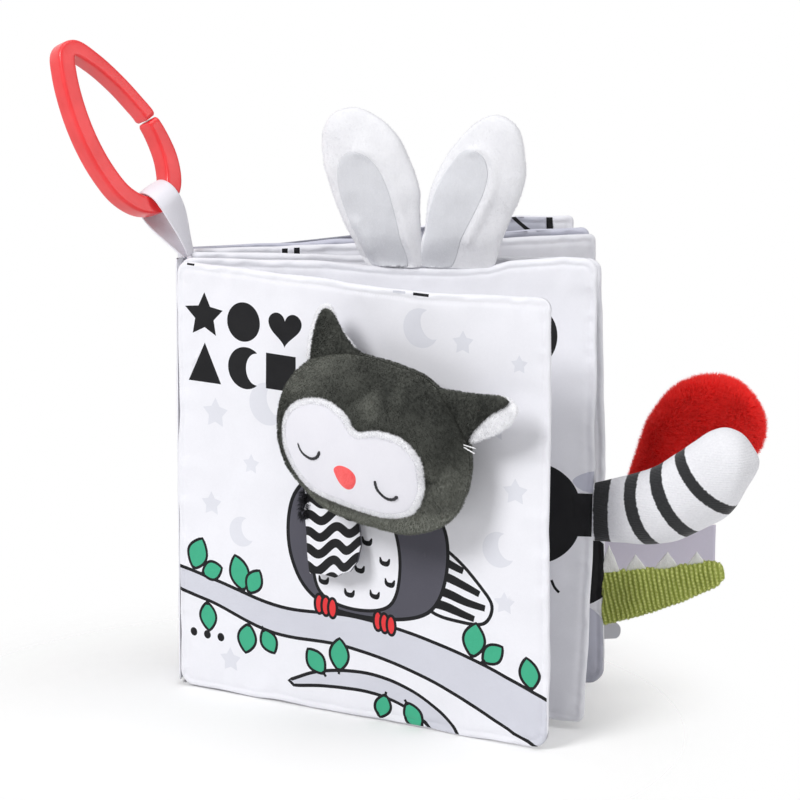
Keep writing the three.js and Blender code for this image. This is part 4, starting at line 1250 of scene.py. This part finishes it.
def wing():
    """The wing: cloth with common wavy stripes, sewn along its top, with a corner curled forward."""
    outline = around(WING_OUTLINE, 120)
    x = np.linspace(-20, 20, 80)
    wave = WAVE_HEIGHT * np.sin(x * 0.55 + 0.6)
    stripes = [
        stroke(np.column_stack([x, base + wave + x * WAVE_SLANT]), WAVE_WIDTH, smoothed=False)
        for base in np.arange(-34, 5, WAVE_STEP)
    ]
    x, z = np.meshgrid(np.arange(-16, 17, 1.0), np.arange(-28, 1, 1.0))
    grid = np.column_stack([x.ravel(), z.ravel()])
    grid = grid[inside(grown(outline, -0.6), grid)]
    flat, triangles, which = cut(
        np.vstack([outline, grid]), 120, stripes, lambda middles: inside(outline, middles)
    )
    curl = -WING_CURL * smooth(0, 14, flat[:, 0]) * smooth(-6, -22, flat[:, 1])
    curl -= 0.6 * smooth(-16, -27, flat[:, 1])
    both = both_sides(upright(flat, curl - WING_THICK), WING_THICK)
    count = len(flat)
    met = {}
    for a, b in np.vstack([triangles[:, [k, (k + 1) % 3]] for k in range(3)]).tolist():
        met[frozenset((a, b))] = None if frozenset((a, b)) in met else (a, b)
    rim = [(b, a, count + a, count + b) for a, b in filter(None, met.values())]
    faces = [*triangles.tolist(), *(triangles[:, ::-1] + count).tolist(), *rim]
    which = [*np.minimum(which, 1), *([2] * (len(triangles) + len(rim)))]
    piece = make("wing_flap_cloth", apply(wing_frame, both), faces, [WHITE, BLACK, CHARCOAL], which, both)
    dress(piece, "wing", "wavy_print", "wing_flap")
    # The frayed corner, as a small box that its threads stand on
    edge = np.array([*product((-11.9, -10.6), (-1.2, 0), (-8, 0.4))])
    sides = [[0, 1, 3, 2], [4, 6, 7, 5], [0, 4, 5, 1], [2, 3, 7, 6], [0, 2, 6, 4], [1, 5, 7, 3]]
    nap(
        "wing_fray", wing_frame, edge, sides, (420, 2.4, 0.36, 98), THREAD, "wing", "black_thread",
        comb=(0, -0.2, -0.3),
    )


wing()


# Rabbit ears: where each stands along leaf 2, its outline and its patch's, from the middle of its foot

RABBIT_EARS = {
    "left": (
        74,
        [(-24.6, 37.4), (-23.9, 43.8), (-20.9, 48.6), (-14.8, 50.8), (-8.8, 49.6), (-2.7, 45.1),
         (2.3, 37.2), (6.1, 28.2), (8.2, 18.8), (8.9, 8.6), (8.6, -2.5), (-9, -2.5), (-14.8, 6.2),
         (-19.5, 16.2), (-22.9, 26.3)],
        [(-19.3, 29.7), (-18, 34.5), (-14.6, 36.9), (-10.2, 36), (-6.2, 32.5), (-2.8, 26.2), (-0.1, 17.5),
         (2, 8.1), (4, -2.4), (-7.2, -2.4), (-12.8, 7.6), (-16.9, 16.9), (-19, 24.3)],
    ),
    "right": (
        98,
        [(-14.1, 12.1), (-13.1, 18.9), (-10.5, 27.4), (-6.9, 35.9), (-1.9, 42.5), (4, 47.3), (9.4, 49.1),
         (14.7, 47), (17.8, 41.7), (18.9, 34.4), (18, 24.9), (15.1, 15.7), (11.2, 6.5), (7, -2.5),
         (-15.4, -2.5)],
        [(-5.4, 33.2), (-1.4, 37.7), (2.3, 38.5), (5.9, 35.9), (7.3, 30.9), (6.1, 24.5), (2.8, 17),
         (-1.2, 8.8), (-5.8, -2.4), (-15, -2.4), (-13.6, 9.4), (-11.6, 20.2), (-8.7, 27.7)],
    ),
}
EAR_HALF, EAR_FOOT, PATCH_FOOT = 4.0, -2.3, -2.1


def rabbit_ear(which_side, along, spots, inner_spots):
    """A flat stuffed ear, with a smooth patch let into its front that leaves a raised welt round it."""
    body = f"rabbit_ear_{which_side}"
    matrix = leaf_matrix(1, along, PAGE_HEIGHT + 0.5)
    outline, inner = through(spots, 160), through(inner_spots, 120)
    centre = outline.mean(axis=0) + (0, -3)
    points, faces = pillow(outline, centre, EAR_HALF, EAR_HALF, rings=34, power=0.8)
    points[:, 1] *= 0.12 + 0.88 * smooth(-3, 10, points[:, 2])
    sideways = inner[inner[:, 0] > np.interp(inner[:, 1], [0, 40], inner[[-1, 0], 0]) + 4]
    away = np.min([np.hypot(*(points[:, [0, 2]] - spot - (2.4, 0)).T) for spot in sideways], axis=0)
    points[:, 1] -= np.where(points[:, 1] < 0, 0.9 * np.exp(-((away / 1.7) ** 2)), 0)
    points = lumpy(points, faces, (13, 0.8, 61 + along), (3, 0.06, 62))
    points[:, 2] = np.maximum(points[:, 2], EAR_FOOT)
    add(body + "_form", matrix, points, faces, WHITE_PLUSH, body, "white_plush", body + "_plush", fill=0.5)
    nap(body + "_nap", matrix, points, faces, (16000, 0.45, 0.1, 63), WHITE_PLUSH, body, "white_plush")
    form = BVHTree.FromPolygons(points.tolist(), [tuple(f) for f in faces])
    middle = inner.mean(axis=0)
    rows = []
    levels = [(share, 0.2) for share in np.linspace(0.05, 0.98, 24)]
    for share, off in [*levels, (1, 0.05), (0.99, -0.4), (0.5, -1.0)]:
        flat = np.maximum(middle + (inner - middle) * share, (-99, PATCH_FOOT))
        front = np.array([form.ray_cast((x, -40, z), (0, 1, 0))[0][1] for x, z in flat])
        rows.append(upright(flat, front - off))
    lining = np.vstack([rows[0].mean(axis=0), *rows, rows[-1].mean(axis=0)])
    lining_faces, slot = tube_faces(len(rows), len(inner)), "light_grey_plush"
    add(body + "_inner_form", matrix, lining, lining_faces, SILVER_PLUSH, body, slot, body + "_inner")


for which_side, shapes in RABBIT_EARS.items():
    rabbit_ear(which_side, *shapes)


# Tails: stuffed forms in an outline that starts at the edge of a leaf

TAIL_BLEND = 9.0


def tail(name, k, up, spots, depth, material, slot, ribs_and_painted_shade=None, stripe=None, **sizes):
    """A stuffed tail sewn on at its seam; the rib function, where given, gives each point's share of its
    ribs, which swells them and also paints light on their tops and shade in their grooves.

    Its points, its faces, its frame and what it is sewn between come back."""
    matrix = leaf_matrix(k, PAGE_WIDTH + 0.5, up)
    points, faces = swept(spots, depth, **sizes)
    points[:, 1] *= 0.25 + 0.75 * smooth(-2, 14, points[:, 0])
    points = lumpy(points, faces, (12, 0.4, 71))
    values = {}
    # The rib share also becomes the attribute tip: painted light on the rib tops, painted shade in the
    # grooves.
    if ribs_and_painted_shade:
        values["tip"] = ribs_and_painted_shade(points)
        points = points + outward(points, faces) * (values["tip"] * 0.5)[:, None]
    if stripe:
        values["stripe"] = stripe(points)
    sewn = (LEAVES[k][0], name, *(apply(matrix, [(0, 0, 0), (TAIL_BLEND, 0, 0)]) * MM))
    add(name + "_form", matrix, points, faces, material, sewn, slot, name, fill=0.65, **values)
    return points, faces, matrix, sewn


# Middle line of each black stripe, from the upper edge of the tail down, and its width
STRIPES = [
    ([(2, 24), (2.4, 15.2), (2.3, 5.5), (2.7, -5.2), (3.6, -14)], 5.8),
    ([(11.5, 26), (12.5, 18.1), (13.4, 9.3), (15.6, 1.8), (18.7, -4.3), (23, -11)], 4.4),
    ([(19, 30), (20.4, 21), (22.4, 14), (26.5, 6.2), (32.7, -1.5), (40, -8)], 4.5),
    ([(24, 33), (27.9, 26), (32.8, 18.9), (38.9, 12.7), (46.2, 7.5), (55, 3)], 4.1),
]


def stripe_share(points):
    """How far inside a stripe each point is, in millimetres, and below 0 outside all of them."""
    best = np.full(len(points), -9.0)
    for line, width in STRIPES:
        fine = through(line, 80, closed=False)
        away = np.min([np.hypot(*(points[:, [0, 2]] - spot).T) for spot in fine], axis=0)
        best = np.maximum(best, width / 2 - away)
    return best


tail(
    "striped_tail", 1, 68.5,
    [(-0.8, 12.4), (4, 13.8), (11, 15.9), (19.1, 19.1), (27, 24.4), (32.9, 29.1), (37.9, 32.7),
     (42.8, 34.2), (47.8, 32.7), (51.9, 28.4), (54.3, 24.6), (54.4, 21.6), (51.3, 15.2), (47.6, 8),
     (44.1, 4), (39.6, 1), (33.2, -2.5), (26.7, -5.1), (18.6, -6.7), (10.5, -7.1), (3.3, -7.3),
     (-0.8, -7.4)],
    22, KNIT, "striped_knit", stripe=stripe_share,
)
points, faces, matrix, sewn = tail(
    "red_tail", 4, 48,
    [(-1, 3.4), (9, 3.6), (16.5, 8), (20.3, 18), (23.5, 28), (27, 35), (31.5, 40.5), (38, 44.5),
     (45.7, 46.3), (51, 45.4), (56.5, 42.4), (61.5, 37), (64.4, 29.9), (63.9, 22), (57, 12), (47.5, 4.5),
     (38, 1.2), (28, -0.6), (14, -1.8), (-1, -2)],
    15, RED_FUR, "red_fur",
)
pile = (110000, 2.9, 0.2, 75)
nap("red_tail_pile", matrix, points, faces, pile, RED_FUR, sewn, "red_fur", comb=(0.2, 0, 0.1))

# Corduroy of the green tail
RIB_STEP, RIB_LEAN, KNOT_STEP = 1.62, -12.5, 1.15


def cord(points):
    """Fat ribs across the tail, each knotted along its length."""
    along, across = turned(points[:, [0, 2]], RIB_LEAN).T
    along = along + 0.25 * fractal(points, 3, 95)
    knots = 0.5 + 0.5 * np.sin(2 * math.pi * (across / KNOT_STEP + 0.5 * np.round(along / RIB_STEP)))
    ribs = 0.5 + 0.5 * np.cos(2 * math.pi * along / RIB_STEP)
    return ribs**0.7 * (0.62 + 0.38 * knots)


points, faces, green_matrix, sewn = tail(
    "green_tail", 2, 30.5,
    [(-1, 9.7), (7.8, 10.5), (18.1, 11.5), (28.3, 13.1), (35.5, 14.3), (38.8, 13.3), (40.4, 10.1),
     (38.7, 6.4), (33.7, 3.6), (25.5, 0.2), (15.3, -3.8), (5.1, -7.2), (-1, -8.9)],
    9, GREEN_CORD, "green_corduroy", ribs_and_painted_shade=cord, count=260, columns=200,
)
nap(
    "green_tail_nap", green_matrix, points, faces, (26000, 0.55, 0.12, 96), GREEN_CORD, sewn,
    "green_corduroy", comb=(0.1, 0, -0.1),
)
SPIKES = [
    [(-2.4, 9.4), (0.8, 19.6), (4.8, 9.9)], [(6.2, 9.7), (9.9, 16.3), (14.4, 10.2)],
    [(16, 10.6), (20.9, 17.3), (25.3, 11.4)], [(27.2, 12.2), (30.9, 17.6), (34.2, 13)],
]
for number, corners in enumerate(SPIKES, 1):
    outline = around(corners, 60)
    outline = outline.mean(axis=0) + (outline - outline.mean(axis=0)) * 0.98
    points, faces = pillow(outline, outline.mean(axis=0), 0.9, 0.9, edge=0.5, rings=10)
    points = lumpy(points, faces, (3, 0.12, 80 + number))
    name = f"felt_spike_{number}"
    add(name + "_form", green_matrix, points, faces, FELT, sewn, "white_felt", name)


# Label, tab


def tape(name, length, height, thick, matrix, material, body, slot, node, bow=0.0, round_end=0.0):
    """A flat tape sewn in by one end."""
    columns, rows = 40, 20
    x, z = np.meshgrid(np.linspace(0, length, columns), np.linspace(0, height, rows))
    x = x - round_end * (np.abs(z / height - 0.5) * 2) ** 3 * (x / length)
    y = bow * np.sin(x / length * math.pi * 0.9) + 0.15 * np.sin(z / height * 3)
    both = both_sides(np.column_stack([x.ravel(), (y - thick / 2).ravel(), z.ravel()]), thick)
    return add(name, matrix, both, band_faces(rows, columns), material, body, slot, node)


label = tape(
    "label_tape", 44, 16, 0.6, leaf_matrix(3, 145.5, 29), LABEL, "label", "lilac_tape", "blank_label", bow=0.5
)
tape("tab_tape", 10, 5.6, 1.4, leaf_matrix(3, 145.5, 5), TAB, "tab", "grey_tape", "grey_tab", round_end=1.6)


# Ring and ribbon

RING_SHARES = np.array([
    (0.98, 0.47), (1, 0.34), (0.86, 0.17), (0.5, 0.04), (0, 0), (-0.5, 0.04), (-0.86, 0.15), (-1, 0.31),
    (-0.98, 0.5), (-0.8, 0.7), (-0.48, 0.89), (-0.2, 0.985), (0.06, 0.98), (0.42, 0.86), (0.74, 0.68),
    (0.95, 0.5),
])
RING_OUT, RING_DEEP, RING_SIZE = 3.1, 3.9, (13, 60.5)
RING_LEAN, RING_TWIST = -30, 44
# How many points the ring's line has, the one where it hangs, and the two that it is split between
RING_POINTS, HANG_AT, SPLIT_FROM, SPLIT_TO = 2001, 500, 36, 46
# The ribbon's foot along the leaf, the round of the corner below it, and from there to where the ring hangs
RIBBON_ALONG, RIBBON_CORNER, hang_offset = 2.5, 7, Vector((-9.8, -1, 17.6))
ring_line = through(RING_SHARES * RING_SIZE, RING_POINTS, closed=False)
ring_turn = Matrix.Rotation(math.radians(RING_LEAN), 4, "Y")
ring_turn = ring_turn @ Matrix.Rotation(math.radians(RING_TWIST), 4, "Z")
corner_drop = RIBBON_CORNER - math.sqrt(RIBBON_CORNER**2 - (RIBBON_CORNER - RIBBON_ALONG) ** 2)
ribbon_frame = places[2] @ Matrix.Translation((RIBBON_ALONG, 0, PAGE_HEIGHT + 0.65 - corner_drop))
hang_local = Vector((ring_line[HANG_AT, 0], 0, ring_line[HANG_AT, 1]))
ring_frame = ribbon_frame @ Matrix.Translation(hang_offset - ring_turn @ hang_local) @ ring_turn


def ring():
    """The split ring: a flat-sided band with softened edges, open by a hair's breadth."""
    count, power = 220, 0.3
    centre = evenly(np.vstack([ring_line[SPLIT_TO:], ring_line[:SPLIT_FROM]]), count, False)
    out = -left_of(unit(np.gradient(centre, axis=0)))
    a = round_angles(64)
    o, d = (np.sign(v) * np.abs(v) ** power for v in (np.cos(a), np.sin(a)))
    slim = 1 - 0.3 * smooth(-4, 12, centre[:, 0]) * smooth(4, 30, centre[:, 1])
    loops = []
    for k in range(count):
        shrink = math.sqrt(1 - (1 - min(1, min(k, count - 1 - k) / 2)) ** 2 * 0.3)
        spread = centre[k] + out[k] * (RING_OUT * o * shrink * slim[k])[:, None]
        loops.append(upright(spread, RING_DEEP * d * shrink))
    ends = [[[centre[k, 0], 0, centre[k, 1]]] for k in (0, -1)]
    points = np.vstack([ends[0], *loops, ends[1]])
    faces = tube_faces(count, 64)
    add("link_ring_smooth", ring_frame, points, faces, CORAL, "ring", "coral_plastic", "link_ring")


ring()

# The ribbon, then half of the ring's section where it hangs, and the slack between the two
RIBBON_THICK, RIBBON_WIDTH, RIBBON_FOOT_TURN = 0.6, 10.0, 75
RING_HELD, RING_SLACK = 1.6, 1.5


def ribbon():
    """A loop of satin ribbon from the corner of the book round the ring."""
    up, reach = np.array(hang_offset.normalized()), hang_offset.length
    tangent = ring_line[HANG_AT + 5] - ring_line[HANG_AT - 5]
    axis = np.array((ring_turn @ Vector((tangent[0], 0, tangent[1]))).normalized())
    foot_turn = math.radians(RIBBON_FOOT_TURN)
    foot = np.array([math.cos(foot_turn), math.sin(foot_turn), 0])
    rows, columns = 160, 20
    foot_gap = 0.15 + RIBBON_THICK / 2
    round_ = math.hypot(RING_HELD, RING_DEEP) + RING_SLACK + RIBBON_THICK / 2
    lean = math.asin((round_ - foot_gap) / reach)
    spread = foot_gap + (round_ - foot_gap) / 3
    turns = np.linspace(-lean, math.pi + lean, 25)
    bow = [(reach + round_ * math.sin(t), round_ * math.cos(t)) for t in turns]
    path = [(0, foot_gap), (reach / 3, spread), *bow, (reach / 3, -spread), (0, -foot_gap)]
    fine = through(path, rows, closed=False)
    share = np.clip(fine[:, 0] / reach, 0, 1)[:, None]
    wides = foot * (1 - share) - axis * share
    wides = unit(wides - (wides @ up)[:, None] * up)
    centre = up * fine[:, :1] + unit(np.cross(wides, up)) * fine[:, 1:]
    thins = unit(np.cross(wides, unit(np.gradient(centre, axis=0))))
    across = np.linspace(-0.5, 0.5, columns)[None, :, None]
    gather = (RIBBON_WIDTH * (0.6 + 0.32 * smooth(0.05, 0.8, share)))[:, None]
    dome = 0.35 * (1 - (2 * across) ** 2) * thins[:, None]
    front = centre[:, None] + wides[:, None] * across * gather + dome
    both = np.vstack([front.reshape(-1, 3), (front + thins[:, None] * RIBBON_THICK).reshape(-1, 3)])
    run = reached(centre)
    place = [np.tile(across.ravel() * RIBBON_WIDTH, rows), np.zeros(rows * columns), np.repeat(run, columns)]
    piece = add(
        "ribbon_satin", ribbon_frame, both, band_faces(rows, columns), SATIN, "ribbon", "white_satin",
        "ribbon_loop", place=np.tile(np.column_stack(place), (2, 1)),
    )


ribbon()

# Floor and light

LIGHTS = [
    ("key", (-1.7, -1.9, 2.1), (0, 0, 0.1), 1.1, 69),
    ("fill", (2.1, -0.8, 0.8), (0.1, 0, 0.08), 1.2, 9),
    ("top", (0.3, -0.2, 1.9), (0, 0, 0), 1.4, 13),
]
WORLD_LIGHT = 0.26
# Where the floor fades out, in metres: the middle of the place, and how far round it
FADE_MIDDLE, FADE_FROM, FADE_TO = (-0.03, -0.05, 0), 0.06, 0.165


def stage():
    """A pale floor that fades out into the white background, and soft light mostly from the front left."""
    mesh = bpy.data.meshes.new("floor")
    mesh.from_pydata([(-3, -3, 0), (3, -3, 0), (3, 3, 0), (-3, 3, 0)], [], [(0, 1, 2, 3)])
    floor = bpy.data.objects.new("floor", mesh)
    floor.location.z = -0.4 * MM
    scene.collection.objects.link(floor)
    s = Shader("pale_floor")
    s.finish(Base_Color=linear(250, 250, 250), Roughness=0.95, Specular_IOR_Level=0.05)
    position = s.node("ShaderNodeNewGeometry").outputs["Position"]
    away = s.node("ShaderNodeVectorMath", {0: position, 1: FADE_MIDDLE}, operation="DISTANCE")
    inputs = {0: away.outputs["Value"], 1: FADE_FROM, 2: FADE_TO}
    fade = s.node("ShaderNodeMapRange", inputs, interpolation_type="SMOOTHSTEP").outputs[0]
    fade = s.math("MULTIPLY", fade, s.node("ShaderNodeLightPath").outputs["Is Camera Ray"])
    s.mix_surface(fade, s.node("ShaderNodeBsdfTransparent").outputs[0])
    mesh.materials.append(s.material)
    for name, place, aim, size, power in LIGHTS:
        light_data = bpy.data.lights.new(name, "AREA")
        light_data.size = size
        light_data.energy = power
        light = bpy.data.objects.new(name, light_data)
        light.location = place
        light.rotation_euler = (Vector(aim) - Vector(place)).to_track_quat("-Z", "Y").to_euler()
        scene.collection.objects.link(light)
    world = bpy.data.worlds.new("world")
    scene.world = world
    world.use_nodes = True
    tree = world.node_tree
    rays = tree.nodes.new("ShaderNodeLightPath").outputs
    seen = rays["Is Camera Ray"]
    for other in ("Is Glossy Ray", "Is Transmission Ray"):
        either = tree.nodes.new("ShaderNodeMath")
        either.operation = "MAXIMUM"
        tree.links.new(seen, either.inputs[0])
        tree.links.new(rays[other], either.inputs[1])
        seen = either.outputs[0]
    strength = tree.nodes.new("ShaderNodeMapRange")
    strength.inputs[3].default_value = WORLD_LIGHT
    strength.inputs[4].default_value = 1.0
    tree.links.new(seen, strength.inputs[0])
    tree.links.new(strength.outputs[0], tree.nodes["Background"].inputs["Strength"])
    tree.nodes["Background"].inputs["Color"].default_value = (1, 1, 1, 1)


stage()
